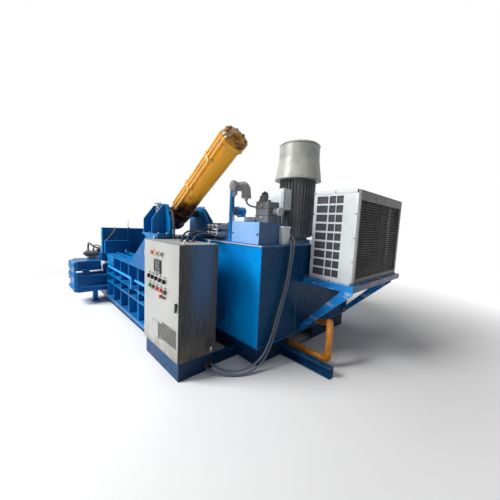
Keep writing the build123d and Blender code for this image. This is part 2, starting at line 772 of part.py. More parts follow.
with BuildPart() as motor_rotor:
    rod_z(motor_x, motor_y, pump_top - 110, fin_z1 + 260, shaft_r)
    rod_z(motor_x, motor_y, fin_z1 + 160, fin_z1 + 250, 70)
    with BuildSketch(Plane.XY.offset(fin_z1 + 165)) as blades:
        with Locations((motor_x, motor_y)):
            with PolarLocations(150, 8):
                Rectangle(200, 8)
    extrude(blades.sketch, amount=80)
save(motor_rotor.part, "motor_rotor")

box_y1 = motor_y - motor_fin_r - 4
with BuildPart() as terminal_box:
    block(motor_x - 190, motor_x + 110, box_y1 - 150, box_y1, 1850, 2140)
    fillet(edges().filter_by(Axis.Y), 14)
    block(motor_x - 100, motor_x + 20, box_y1, motor_y - fin_core_r + 40, 1900, 2090)
    rod_z(motor_x, motor_y, 1900, 2090, motor_fin_r + slide_gap, mode=Mode.SUBTRACT)
    rod_z(motor_x - 110, box_y1 - 75, 1815, 1850, 20)
    rod_z(motor_x + 30, box_y1 - 75, 1815, 1850, 20)
save(terminal_box.part, "terminal_box")

# Main valve with its solenoid, and the stacked valve rows
port_x = 1400
port_y = 500
upper_port_z = 1850
lower_port_z = 1715
with BuildPart() as valve_block:
    block(port_x, 1610, 440, 640, stand_top_z, 1905)
    fillet(edges().filter_by(Axis.Z), 12)
    rod_z(1450, 540, 1905, 2000, 46)
    block(1410, 1500, 480, 600, 1905, 1940)
    for z in (upper_port_z, lower_port_z):
        rod_x(port_y, z, port_x - 34, port_x, 24)
    rod_x(540, 1790, 1610, 1700, 45)
save(valve_block.part, "valve_block")

with BuildPart() as valve_rows:
    block(655, 935, 370, 640, tank_z1, tank_z1 + 45)
    for row in (0, 1):
        z = tank_z1 + 45 + row * 92
        for step in range(3):
            x = 665 + step * 90
            block(x, x + 78, 390, 620, z, z + 80)
            rod_y(x + 39, z + 40, 320, 390, 30)
        block(660, 930, 420, 590, z + 80, z + 92)
save(valve_rows.part, "valve_rows")

# Return bend: an upright pipe from the tank cover with a fat elbow at its top
with BuildPart() as return_bend:
    rod_z(990, 390, tank_z1, 2060, 26)
    pipe([(990, 390, 2040), (990, 390, 2130), (1275, 390, 2110), (1275, 390, 1970)], 48, 62)
    rod_z(990, 390, 2000, 2045, 58)
    rod_z(1275, 390, 1950, 1985, 56)
save(return_bend.part, "return_bend")

# Suction pipe: out of the plinth, up beside the shelf strut and back into the tank wall
return_y = 1300
return_z = 562
with BuildPart() as suction_pipe:
    suction_route = [
        (tank_x1 - plinth_inset - 60, 900, 92),
        (2255, 900, 92),
        (2255, 900, 450),
        (2225, 955, 552),
        (2140, 1150, return_z),
        (1930, return_y, return_z),
        (tank_x1, return_y, return_z),
    ]
    pipe(suction_route, 40, 60)
    rod_x(return_y, return_z, tank_x1, tank_x1 + 14, 80)
save(suction_pipe.part, "suction_pipe")

# Cooler shelf: an angle-iron frame on two diagonal struts
shelf_y1 = cooler_y1 + 40
with BuildPart() as cooler_shelf:
    for y in (shelf_y0, shelf_y1 - shelf_leg):
        block(tank_x1, shelf_x1, y, y + shelf_leg, cooler_z0 - shelf_t, cooler_z0)
        leaf = y if y == shelf_y0 else y + shelf_leg - shelf_t
        block(tank_x1, shelf_x1, leaf, leaf + shelf_t, cooler_z0 - shelf_leg, cooler_z0)
    block(shelf_x1 - shelf_leg, shelf_x1, shelf_y0, shelf_y1, cooler_z0 - shelf_t, cooler_z0)
    block(shelf_x1 - shelf_t, shelf_x1, shelf_y0, shelf_y1, cooler_z0 - shelf_leg, cooler_z0)
    block(tank_x1, tank_x1 + shelf_t, shelf_y0, shelf_y1, cooler_z0 - shelf_leg, cooler_z0)
    for y in (shelf_y0, tank_y1 - shelf_leg):
        strut = [
            (tank_x1, strut_foot_z),
            (tank_x1, strut_foot_z - 95),
            (shelf_x1, cooler_z0 - shelf_leg - 22),
            (shelf_x1, cooler_z0 - shelf_t),
            (shelf_x1 - 80, cooler_z0 - shelf_t),
        ]
        side_plate(strut, y, y + shelf_t)
        flange = [
            (tank_x1, strut_foot_z),
            (tank_x1, strut_foot_z - 12),
            (shelf_x1 - 68, cooler_z0 - shelf_t),
            (shelf_x1 - 80, cooler_z0 - shelf_t),
        ]
        side_plate(flange, y, y + shelf_leg)
save(cooler_shelf.part, "cooler_shelf")

# Cooler: a sheet case with a grid face, a louvred face and a fan ring
with BuildPart() as cooler_case:
    block(cooler_x0, cooler_x1, cooler_y0, cooler_y1, cooler_z0, cooler_z1)
    block(
        cooler_x0 + cooler_wall,
        cooler_x1 - cooler_wall,
        cooler_y0 + cooler_wall,
        cooler_y1 - cooler_wall,
        cooler_z0 + cooler_wall,
        cooler_z1 - cooler_wall,
        mode=Mode.SUBTRACT,
    )
    with BuildSketch(Plane.XZ.offset(-cooler_y0)) as cells:
        with Locations((cooler_x0 + 215, cooler_z0 + 400)):
            with GridLocations(175, 84, 2, 8):
                Rectangle(150, 62)
    extrude(cells.sketch, amount=-cooler_wall, mode=Mode.SUBTRACT)
    with BuildSketch(Plane.YZ.offset(cooler_x1 - cooler_wall)) as louvres:
        with Locations(((cooler_y0 + cooler_y1) / 2, (cooler_z0 + cooler_z1) / 2 - 10)):
            with GridLocations(650, 40, 2, 24):
                Rectangle(610, 26)
    extrude(louvres.sketch, amount=cooler_wall, mode=Mode.SUBTRACT)
    rod_y((cooler_x0 + cooler_x1) / 2, 1520, cooler_y1 - cooler_wall, cooler_y1, 240, mode=Mode.SUBTRACT)
save(cooler_case.part, "cooler_case")

cooler_mid_x = (cooler_x0 + cooler_x1) / 2
with BuildPart() as cooler_core:
    block(
        cooler_x0 + cooler_wall,
        cooler_x1 - cooler_wall,
        2200,
        2290,
        cooler_z0 + cooler_wall,
        cooler_z1 - cooler_wall,
    )
    rod_y(cooler_mid_x, 1520, 2290, 2400, 60)
    rod_y(cooler_mid_x, 1520, 2330, 2400, 14 + fit, mode=Mode.SUBTRACT)
save(cooler_core.part, "cooler_core")

with BuildPart() as cooler_fan:
    rod_y(cooler_mid_x, 1520, 2340, 2560, 14)
    rod_y(cooler_mid_x, 1520, 2500, 2560, 55)
    with BuildSketch(Plane.XZ.offset(-2510)) as fan_blades:
        with Locations((cooler_mid_x, 1520)):
            with PolarLocations(130, 6):
                Rectangle(180, 60)
    extrude(fan_blades.sketch, amount=-6)
save(cooler_fan.part, "cooler_fan")

# Cabinet shell with its hinge knuckles
case_y0 = cab_y0 + cab_door_t
cab_hinge_x = cab_x0 - 9
cab_hinge_y = cab_y0 + 9
cab_hinge_z = (318, 1245)
cab_pin_r = 4
with BuildPart() as cabinet_shell:
    block(cab_x0, cab_x1, case_y0, cab_y1, cab_z0, cab_z1)
    block(
        cab_x0 + cab_wall,
        cab_x1 - cab_wall,
        case_y0,
        cab_y1 - cab_wall,
        cab_z0 + cab_wall,
        cab_z1 - cab_wall,
        mode=Mode.SUBTRACT,
    )
    for z in cab_hinge_z:
        block(cab_hinge_x - 3, cab_x0, cab_hinge_y, case_y0 + 50, z - 55, z - 25)
        rod_z(cab_hinge_x, cab_hinge_y, z - 55, z - 25, 8)
        rod_z(cab_hinge_x, cab_hinge_y, z - 25, z + 25, cab_pin_r)
save(cabinet_shell.part, "cabinet_shell")

lamp_x = (833, 945, 1057)
lamp_z = 1272
meter = (876, 1045, 1050, 1200)
selector_x0 = 738
selector_pitch = 100
selector_z = 987
button_x0 = 754
button_pitch = 100
button_z = 877
knob_stem_r = 11
filter_box = (808, 992, 300, 510)
slot_box = (1004, 1074, 325, 506)
grille_box = (1090, 1395, 335, 525)
lock_x = 1405
lock_z = 800
door_face = cab_y0
door_back = case_y0 - slide_gap
with BuildPart() as cabinet_door:
    block(cab_x0 + door_gap, cab_x1 - door_gap, door_face, door_back, cab_z0 + door_gap, cab_z1 - door_gap)
    block(
        cab_x0 + door_gap + 14,
        cab_x1 - door_gap - 14,
        door_face + 3,
        door_back,
        cab_z0 + door_gap + 14,
        cab_z1 - door_gap - 14,
        mode=Mode.SUBTRACT,
    )
    for z in cab_hinge_z:
        block(cab_hinge_x, cab_x0 + door_gap, cab_y0, cab_y0 + 6, z - 24, z + 24)
        rod_z(cab_hinge_x, cab_hinge_y, z - 24.7, z + 24, 8)
        rod_z(cab_hinge_x, cab_hinge_y, z - 30, z + 30, cab_pin_r + fit, mode=Mode.SUBTRACT)
    for index in range(5):
        for x, z in (
            (selector_x0 + index * selector_pitch, selector_z),
            (button_x0 + index * button_pitch, button_z),
        ):
            rod_y(x, z, door_face, door_face + 3, knob_stem_r + fit, mode=Mode.SUBTRACT)
    for x in lamp_x:
        rod_y(x, lamp_z, door_face, door_face + 3, knob_stem_r + fit, mode=Mode.SUBTRACT)
    block(meter[0] + 8, meter[1] - 8, door_face, door_face + 3, meter[2] + 8, meter[3] - 8, mode=Mode.SUBTRACT)
    rod_y(lock_x, lock_z, door_face, door_face + 3, 9 + fit, mode=Mode.SUBTRACT)
    with BuildSketch(Plane.XZ.offset(-door_face)) as slats:
        centre_x = (grille_box[0] + grille_box[1]) / 2
        centre_z = (grille_box[2] + grille_box[3]) / 2
        with Locations((centre_x, centre_z)):
            with GridLocations(0, 24, 1, 8):
                Rectangle(grille_box[1] - grille_box[0], 13)
    extrude(slats.sketch, amount=-3, mode=Mode.SUBTRACT)
    block(filter_box[0], filter_box[1], door_face - 6, door_face, filter_box[2], filter_box[3])
    block(
        filter_box[0] + 14,
        filter_box[1] - 14,
        door_face - 6,
        door_face - 3,
        filter_box[2] + 14,
        filter_box[3] - 14,
        mode=Mode.SUBTRACT,
    )
    block(slot_box[0], slot_box[1], door_face - 4, door_face, slot_box[2], slot_box[3])
save(cabinet_door.part, "cabinet_door")

with BuildPart() as door_instruments:
    block(meter[0], meter[1], door_face - 10, door_face, meter[2], meter[3])
    block(meter[0] + 9, meter[1] - 9, door_face, door_face + 60, meter[2] + 9, meter[3] - 9)
    for x in lamp_x:
        rod_y(x, lamp_z, door_face - 8, door_face, 26)
        rod_y(x, lamp_z, door_face - 26, door_face - 8, 20)
        rod_y(x, lamp_z, door_face, door_face + 45, knob_stem_r)
save(door_instruments.part, "door_instruments")

for index in range(5):
    x = selector_x0 + index * selector_pitch
    with BuildPart() as selector:
        rod_y(x, selector_z, door_face - 12, door_face - slide_gap, 24)
        block(x - 6, x + 6, door_face - 32, door_face - 12, selector_z - 22, selector_z + 22)
        rod_y(x, selector_z, door_face - 12, door_face + 30, knob_stem_r)
    save(selector.part, f"selector_{index + 1}")

button_travel = 5
for index in range(5):
    x = button_x0 + index * button_pitch
    with BuildPart() as button:
        rod_y(x, button_z, door_face - 24, door_face - button_travel - 1, 22)
        rod_y(x, button_z, door_face - button_travel - 1, door_face + 24, knob_stem_r)
    save(button.part, f"push_button_{index + 1}")

with BuildPart() as door_lock:
    rod_y(lock_x, lock_z, door_face - 6, door_face - slide_gap, 17)
    block(lock_x - 9, lock_x + 9, door_face - 22, door_face - 6, lock_z - 70, lock_z + 20)
    rod_y(lock_x, lock_z, door_face - 6, door_face + 12, 9)
save(door_lock.part, "door_lock")

# Switchgear on its mounting plate
plate_y1 = cab_y1 - cab_wall - 20
with BuildPart() as switchgear:
    block(620, 1393, plate_y1 - 3, plate_y1, 260, 1340)
    for x in (640, 1373):
        for z in (300, 1300):
            rod_y(x, z, plate_y1, cab_y1 - cab_wall, 9)
    for z, height, depth, pitch, count in (
        (1180, 90, 70, 62, 10),
        (960, 130, 110, 130, 5),
        (720, 90, 80, 78, 8),
    ):
        block(660, 1350, plate_y1 - 11, plate_y1 - 3, z - 18, z + 18)
        for step in range(count):
            left = 680 + step * pitch
            block(left, left + pitch * 0.86, plate_y1 - depth, plate_y1 - 3, z - height / 2, z + height / 2)
    block(700, 900, plate_y1 - 160, plate_y1 - 3, 300, 470)
save(switchgear.part, "switchgear")


# Cords: plain tubes of straight runs and large arcs
def cord_tube(points, r, name):
    """A cord's tube, each arc as large as its two runs allow."""
    radii = []
    for before, here, after in zip(points, points[1:], points[2:]):
        run_in = Vector(*here) - Vector(*before)
        run_out = Vector(*after) - Vector(*here)
        half_turn = math.radians(run_in.get_angle(run_out)) / 2
        radii.append(0.45 * min(run_in.length, run_out.length) / math.tan(half_turn))
    with BuildPart() as cord:
        with BuildLine() as route:
            FilletPolyline(*points, radius=radii)
        with BuildSketch(Plane(origin=route.line @ 0, z_dir=route.line % 0)):
            Circle(r)
        sweep(path=route.line)
    length = sum(edge.length for edge in route.line.edges())
    share = cord.part.volume / (math.pi * r * r * length)
    print(name, "least radius", round(min(radii)), "length", round(length), "volume share", round(share, 4))
    save(cord.part, name)


conduit_r = 12
conduit_1_route = [
    (1190, 1046, 1815),
    (1190, 1046, 1700),
    (1290, 930, 1580),
    (1450, 840, 1515),
    (1610, 775, 1500),
    (1740, 720, 1478),
    (1806, 672, 1400),
    (1800, 658, 1230),
    (1797, 640, 1060),
    (1798, 600, 890),
    (1796, 535, 720),
    (1800, 470, 550),
    (1803, 410, 390),
    (1803, 345, 250),
    (1800, 250, 140),
    (1770, 110, 66),
    (1700, -20, 34),
    (1600, -120, 40),
    (1510, -185, 76),
    (1423, -185, 76),
]
cord_tube(conduit_1_route, conduit_r, "conduit_1")
conduit_2_route = [
    (1330, 1046, 1815),
    (1330, 1046, 1715),
    (1410, 940, 1610),
    (1520, 865, 1545),
    (1640, 810, 1520),
    (1750, 760, 1496),
    (1812, 712, 1412),
    (1804, 698, 1238),
    (1798, 682, 1064),
    (1799, 644, 892),
    (1797, 582, 722),
    (1801, 518, 552),
    (1804, 458, 392),
    (1806, 396, 252),
    (1812, 300, 130),
    (1808, 160, 48),
    (1752, 0, 16),
    (1650, -130, 18),
    (1530, -240, 46),
    (1423, -240, 46),
]
cord_tube(conduit_2_route, conduit_r, "conduit_2")

sensor_r = 5
sensor_route = [
    (1750, 985, 1012),
    (1842, 985, 1012),
    (1868, 912, 975),
    (1840, 858, 880),
    (1806, 838, 770),
    (1799, 832, 650),
    (1801, 834, 520),
    (1800, 848, 400),
    (1803, 848, 300),
    (1802, 806, 236),
    (1800, 760, 200),
    (1800, 760, 120),
]
cord_tube(sensor_route, sensor_r, "sensor_cable")

hose_r = 10
upper_hose_route = [
    (1275, 390, 1950),
    (1275, 390, 1902),
    (1292, 440, 1860),
    (1326, 500, 1850),
    (port_x - 34, port_y, upper_port_z),
]
cord_tube(upper_hose_route, hose_r, "pilot_hose_upper")
lower_hose_route = [
    (1032, 390, 2000),
    (1032, 390, 1905),
    (1040, 395, 1815),
    (1078, 412, 1740),
    (1160, 450, 1712),
    (1270, 500, 1715),
    (port_x - 34, port_y, lower_port_z),
]
cord_tube(lower_hose_route, hose_r, "pilot_hose_lower")
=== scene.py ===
"""Looks of a recycling baler: a hinged-lid scrap press, its power pack and its control cabinet."""

import json
import math

import bpy
from mathutils import Matrix, Vector


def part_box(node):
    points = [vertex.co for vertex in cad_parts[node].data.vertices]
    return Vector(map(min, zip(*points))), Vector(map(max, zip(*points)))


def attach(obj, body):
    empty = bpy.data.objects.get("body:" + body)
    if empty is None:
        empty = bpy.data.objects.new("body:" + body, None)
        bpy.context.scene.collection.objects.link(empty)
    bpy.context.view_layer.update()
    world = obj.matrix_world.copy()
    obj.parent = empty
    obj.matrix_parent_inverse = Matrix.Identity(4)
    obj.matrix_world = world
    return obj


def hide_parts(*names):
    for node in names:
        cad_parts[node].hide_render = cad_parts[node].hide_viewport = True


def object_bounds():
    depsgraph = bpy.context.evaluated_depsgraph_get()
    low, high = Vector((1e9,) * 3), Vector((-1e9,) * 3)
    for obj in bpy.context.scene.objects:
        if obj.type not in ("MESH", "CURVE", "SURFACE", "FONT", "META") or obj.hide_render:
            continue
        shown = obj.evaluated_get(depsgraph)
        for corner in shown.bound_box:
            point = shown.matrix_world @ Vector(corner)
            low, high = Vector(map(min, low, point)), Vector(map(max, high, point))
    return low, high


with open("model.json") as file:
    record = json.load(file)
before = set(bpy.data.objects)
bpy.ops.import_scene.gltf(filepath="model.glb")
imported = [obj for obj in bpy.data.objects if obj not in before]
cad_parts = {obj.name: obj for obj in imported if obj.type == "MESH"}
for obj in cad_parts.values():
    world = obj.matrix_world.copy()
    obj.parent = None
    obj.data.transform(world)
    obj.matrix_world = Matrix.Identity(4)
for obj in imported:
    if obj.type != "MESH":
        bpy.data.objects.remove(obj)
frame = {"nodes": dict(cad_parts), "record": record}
nodes = frame["nodes"]
cad_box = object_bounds()


# Camera: the photograph's place and direction, with the lens fitted to its edge lines
EYE = Vector((3.60, -1.71, 1.62))
AZIMUTH = math.radians(46.5)
ELEVATION = math.radians(5.7)
ROLL = math.radians(2.67)
FOCAL_PX = 248.4
PHOTO_PX = 500
SENSOR_MM = 36


def place_camera():
    back = Vector((
        math.sin(AZIMUTH) * math.cos(ELEVATION),
        -math.cos(AZIMUTH) * math.cos(ELEVATION),
        math.sin(ELEVATION),
    ))
    right = (-back).cross(Vector((0, 0, 1))).normalized()
    up = back.cross(right)
    turned_right = right * math.cos(ROLL) + up * math.sin(ROLL)
    turned_up = up * math.cos(ROLL) - right * math.sin(ROLL)
    data = bpy.data.cameras.new("camera")
    data.sensor_width = SENSOR_MM
    data.lens = FOCAL_PX / PHOTO_PX * SENSOR_MM
    data.clip_start = 0.05
    data.clip_end = 100
    camera = bpy.data.objects.new("camera", data)
    bpy.context.scene.collection.objects.link(camera)
    camera.matrix_world = Matrix.Translation(EYE) @ Matrix((turned_right, turned_up, back)).transposed().to_4x4()
    bpy.context.scene.camera = camera


# Materials: a small kit of node helpers, then one function for each finish


class Finish:
    """One procedural material on Object coordinates, with short names for the nodes that all of them use."""

    def __init__(self, name, colour, roughness, metallic=0.0, coat=0.0, gloss=0.5):
        self.material = bpy.data.materials.new(name)
        self.material.use_nodes = True
        self.tree = self.material.node_tree
        self.shader = self.tree.nodes["Principled BSDF"]
        self.shader.inputs["Base Color"].default_value = (*colour, 1)
        self.shader.inputs["Roughness"].default_value = roughness
        self.shader.inputs["Metallic"].default_value = metallic
        self.shader.inputs["Coat Weight"].default_value = coat
        self.shader.inputs["Specular IOR Level"].default_value = gloss
        self.colour = colour
        self.place = self.node("ShaderNodeTexCoord").outputs["Object"]

    def node(self, kind, **values):
        made = self.tree.nodes.new(kind)
        for key, value in values.items():
            setattr(made, key, value)
        return made

    def feed(self, socket, value):
        if isinstance(value, bpy.types.NodeSocket):
            self.tree.links.new(value, socket)
        elif isinstance(value, tuple) and len(value) == 3 and socket.type == "RGBA":
            socket.default_value = (*value, 1)
        else:
            socket.default_value = value

    def stretched(self, stretch, turn=(0, 0, 0)):
        mapping = self.node("ShaderNodeMapping")
        self.feed(mapping.inputs["Vector"], self.place)
        mapping.inputs["Scale"].default_value = stretch
        mapping.inputs["Rotation"].default_value = turn
        return mapping.outputs["Vector"]

    def noise(self, scale, detail=3.0, rough=0.55, stretch=None, turn=(0, 0, 0)):
        made = self.node("ShaderNodeTexNoise")
        self.feed(made.inputs["Vector"], self.stretched(stretch, turn) if stretch else self.place)
        made.inputs["Scale"].default_value = scale
        made.inputs["Detail"].default_value = detail
        made.inputs["Roughness"].default_value = rough
        return made.outputs["Fac"]

    def span(self, value, low, high, out_low=0.0, out_high=1.0):
        made = self.node("ShaderNodeMapRange")
        self.feed(made.inputs["Value"], value)
        for key, number in (("From Min", low), ("From Max", high), ("To Min", out_low), ("To Max", out_high)):
            made.inputs[key].default_value = number
        return made.outputs["Result"]

    def maths(self, operation, first, second=0.0):
        made = self.node("ShaderNodeMath", operation=operation)
        self.feed(made.inputs[0], first)
        self.feed(made.inputs[1], second)
        return made.outputs[0]

    def mix(self, share, first, second):
        made = self.node("ShaderNodeMix", data_type="RGBA")
        self.feed(made.inputs[0], share)
        self.feed(made.inputs[6], first)
        self.feed(made.inputs[7], second)
        return made.outputs[2]

    def axis(self, letter, vector=None):
        made = self.node("ShaderNodeSeparateXYZ")
        self.feed(made.inputs[0], vector or self.place)
        return made.outputs[letter]

    def normal(self):
        return self.node("ShaderNodeNewGeometry").outputs["Normal"]

    def edges(self, radius):
        """0 on flat faces, rising to 1 on corners and edges."""
        rounded = self.node("ShaderNodeBevel", samples=4)
        rounded.inputs["Radius"].default_value = radius
        dot = self.node("ShaderNodeVectorMath", operation="DOT_PRODUCT")
        self.feed(dot.inputs[0], rounded.outputs["Normal"])
        self.feed(dot.inputs[1], self.normal())
        return self.span(dot.outputs["Value"], 0.995, 0.80)

    def base(self, colour):
        self.feed(self.shader.inputs["Base Color"], colour)

    def rough(self, value):
        self.feed(self.shader.inputs["Roughness"], value)

    def relief(self, *layers, edge=0.0):
        """Bump layers of (height, strength, distance), over edges that are rounded by the given radius."""
        below = None
        if edge:
            rounded = self.node("ShaderNodeBevel", samples=4)
            rounded.inputs["Radius"].default_value = edge
            below = rounded.outputs["Normal"]
        for height, strength, distance in layers:
            made = self.node("ShaderNodeBump")
            made.inputs["Strength"].default_value = strength
            made.inputs["Distance"].default_value = distance
            self.feed(made.inputs["Height"], height)
            if below:
                self.feed(made.inputs["Normal"], below)
            below = made.outputs["Normal"]
        self.feed(self.shader.inputs["Normal"], below)


def blue_paint(name, deep, bright, dust_and_light_share=0.4, grime_share=0.5, painted_side_shade=None):
    """Gloss blue machine paint over plate: brush waves, dust on ledges in a brighter blue that is partly painted top
    light, a grimy foot, grey chips, a painted highlight along edges, and painted shade on faces that look along +X when
    a side colour is given.
    """
    paint = Finish(name, bright, 0.36, coat=0.04, gloss=0.18)
    shade = paint.mix(paint.span(paint.noise(1.1, 4), 0.38, 0.62), deep, bright)
    shade = paint.mix(paint.span(paint.noise(26, 5), 0.52, 0.8, 0, 0.2), shade, deep)
    # Dust on upward faces, in a brighter blue that is partly painted top light.
    upward = paint.span(paint.axis("Z", paint.normal()), 0.6, 1.0)
    dust_and_top_light = paint.maths("MULTIPLY", upward, paint.span(paint.noise(7, 6), 0.45, 0.7, 0, dust_and_light_share))
    shade = paint.mix(dust_and_top_light, shade, (0.08, 0.36, 0.72))
    low = paint.span(paint.axis("Z"), 0.26, 0.02, 0, 1)
    splashed = paint.maths("MULTIPLY", low, paint.span(paint.noise(9, 6, stretch=(1, 1, 2)), 0.45, 0.68, 0, grime_share))
    shade = paint.mix(splashed, shade, (0.012, 0.02, 0.035))
    # Painted highlight: edges turn a brighter blue, broken up by noise.
    rubbed = paint.maths("MULTIPLY", paint.edges(0.005), paint.span(paint.noise(14, 5), 0.35, 0.6, 0.35, 0.9))
    shade = paint.mix(rubbed, shade, (0.02, 0.40, 0.95))
    chipped = paint.maths("MULTIPLY", paint.edges(0.003), paint.span(paint.noise(60, 5), 0.62, 0.68))
    shade = paint.mix(chipped, shade, (0.07, 0.09, 0.11))
    # Painted shade: faces that look along +X take the given dark colour.
    if painted_side_shade:
        turned = paint.span(paint.axis("X", paint.normal()), 0.5, 0.9, 0, 0.9)
        shade = paint.mix(turned, shade, painted_side_shade)
    paint.base(shade)
    paint.rough(paint.span(paint.noise(5, 5), 0.3, 0.7, 0.24, 0.46))
    waves = paint.noise(3.2, 2, stretch=(1, 1, 0.6))
    peel = paint.noise(210, 2)
    paint.relief((waves, 0.22, 0.006), (peel, 0.08, 0.0012), edge=0.003)
    return paint.material


def stand_paint():
    """The tank cover's blue, a paler coat on the valve stand, a pale band on the cover's rim, dust, and painted shade
    on faces that look along +X.
    """
    paint = Finish("stand_paint", (0.0, 0.21, 0.62), 0.34, coat=0.12, gloss=0.3)
    cover = paint.mix(paint.span(paint.noise(1.4, 4), 0.38, 0.62), (0.0, 0.15, 0.46), (0.0, 0.23, 0.66))
    pale = paint.mix(paint.span(paint.noise(2.4, 5), 0.35, 0.7), (0.20, 0.42, 0.80), (0.30, 0.52, 0.90))
    low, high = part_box("oil_tank")
    shade = paint.mix(paint.span(paint.axis("Z"), high.z + 0.015, high.z + 0.018), cover, pale)
    # A pale band on the cover's upright edge faces, just under its top.
    flat = paint.span(paint.maths("ABSOLUTE", paint.axis("Z", paint.normal())), 0.6, 0.3)
    rim = paint.maths("MULTIPLY", flat, paint.span(paint.axis("Z"), high.z + 0.0145, high.z + 0.0138))
    shade = paint.mix(rim, shade, (0.55, 0.60, 0.62))
    dusty = paint.span(paint.noise(9, 6), 0.5, 0.75, 0, 0.35)
    shade = paint.mix(dusty, shade, (0.25, 0.33, 0.42))
    # Painted shade: faces that look along +X turn dark navy.
    turned = paint.span(paint.axis("X", paint.normal()), 0.5, 0.9, 0, 0.85)
    shade = paint.mix(turned, shade, (0.010, 0.060, 0.150))
    paint.base(shade)
    paint.rough(paint.span(paint.noise(6, 4), 0.3, 0.7, 0.28, 0.5))
    paint.relief((paint.noise(4, 2), 0.2, 0.005), (paint.noise(200, 2), 0.08, 0.001), edge=0.003)
    return paint.material


def shelf_paint():
    """Blue angle iron with pale scuffs where the cooler was slid on, rust along its +X edge, and painted shade on faces
    that look along +X.
    """
    paint = Finish("shelf_paint", (0.0, 0.22, 0.66), 0.36, coat=0.1, gloss=0.3)
    shade = paint.mix(paint.span(paint.noise(2.2, 4), 0.38, 0.62), (0.0, 0.15, 0.48), (0.0, 0.25, 0.72))
    scuffed = paint.span(paint.noise(7, 6, stretch=(1, 1, 2.5)), 0.56, 0.66, 0, 0.75)
    shade = paint.mix(scuffed, shade, (0.40, 0.55, 0.70))
    # Painted shade: faces that look along +X turn near-black navy.
    turned = paint.span(paint.axis("X", paint.normal()), 0.5, 0.9, 0, 0.85)
    shade = paint.mix(turned, shade, (0.0, 0.022, 0.065))
    low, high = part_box("cooler_shelf")
    outer = paint.span(paint.axis("X"), high.x - 0.012, high.x - 0.004)
    rusty = paint.maths("MULTIPLY", outer, paint.span(paint.noise(11, 6, 0.65), 0.50, 0.60))
    shade = paint.mix(rusty, shade, (0.22, 0.085, 0.025))
    paint.base(shade)
    paint.rough(paint.span(paint.noise(6, 4), 0.3, 0.7, 0.3, 0.5))
    paint.relief((paint.noise(4, 2), 0.2, 0.005), (paint.noise(120, 3), 0.15, 0.001), edge=0.003)
    return paint.material


def cylinder_paint():
    """Amber gloss paint on the lid cylinder, turning near-black with rust-brown patches towards its trunnion end."""
    amber, deep = (0.95, 0.46, 0.020), (0.84, 0.35, 0.010)
    near_black, rust = (0.020, 0.013, 0.010), (0.20, 0.065, 0.018)
    paint = Finish("cylinder_paint", amber, 0.30, coat=0.12, gloss=0.3)
    shade = paint.mix(paint.span(paint.noise(1.8, 3), 0.35, 0.7), deep, amber)
    shade = paint.mix(paint.span(paint.noise(46, 5), 0.62, 0.8, 0, 0.3), shade, (0.45, 0.17, 0.01))
    lower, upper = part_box("lid_barrel")
    # Towards the trunnion, the barrel's lower end goes near-black with rust-brown patches.
    height = paint.maths("ADD", paint.axis("Z"), paint.span(paint.noise(7, 6, 0.65), 0.25, 0.75, -0.11, 0.11))
    trunnion_end = paint.span(height, lower.z + 0.47, lower.z + 0.33)
    near_press = paint.span(paint.axis("X"), upper.x + 0.01, upper.x)
    near_press = paint.maths("MULTIPLY", near_press, paint.span(paint.axis("Z"), lower.z - 0.12, lower.z - 0.04))
    dark_patches = paint.mix(paint.span(paint.noise(16, 6), 0.5, 0.62), near_black, rust)
    shade = paint.mix(paint.maths("MULTIPLY", trunnion_end, near_press), shade, dark_patches)
    paint.base(shade)
    paint.rough(paint.span(paint.noise(8, 4), 0.3, 0.7, 0.24, 0.42))
    paint.relief((paint.noise(150, 2), 0.10, 0.001), edge=0.003)
    return paint.material


def cap_paint():
    """The cylinder's bolted cap: amber gone brown with oil and dust."""
    paint = Finish("cap_paint", (0.40, 0.17, 0.02), 0.42, gloss=0.3)
    shade = paint.mix(paint.span(paint.noise(9, 6), 0.38, 0.62), (0.16, 0.075, 0.02), (0.52, 0.23, 0.02))
    shade = paint.mix(paint.edges(0.004), shade, (0.75, 0.38, 0.06))
    paint.base(shade)
    paint.rough(paint.span(paint.noise(12, 4), 0.3, 0.7, 0.32, 0.55))
    paint.relief((paint.noise(110, 3), 0.2, 0.001), edge=0.002)
    return paint.material


def orange_pipe_paint():
    """Orange pipe, scuffed dark brown in patches."""
    orange, scuff = (0.62, 0.22, 0.006), (0.23, 0.10, 0.02)
    paint = Finish("orange_pipe_paint", orange, 0.38, coat=0.2)
    shade = paint.mix(paint.span(paint.noise(14, 6), 0.5, 0.72), orange, scuff)
    paint.base(shade)
    paint.rough(paint.span(paint.noise(18, 4), 0.3, 0.7, 0.3, 0.55))
    paint.relief((paint.noise(120, 3), 0.15, 0.001), edge=0.002)
    return paint.material


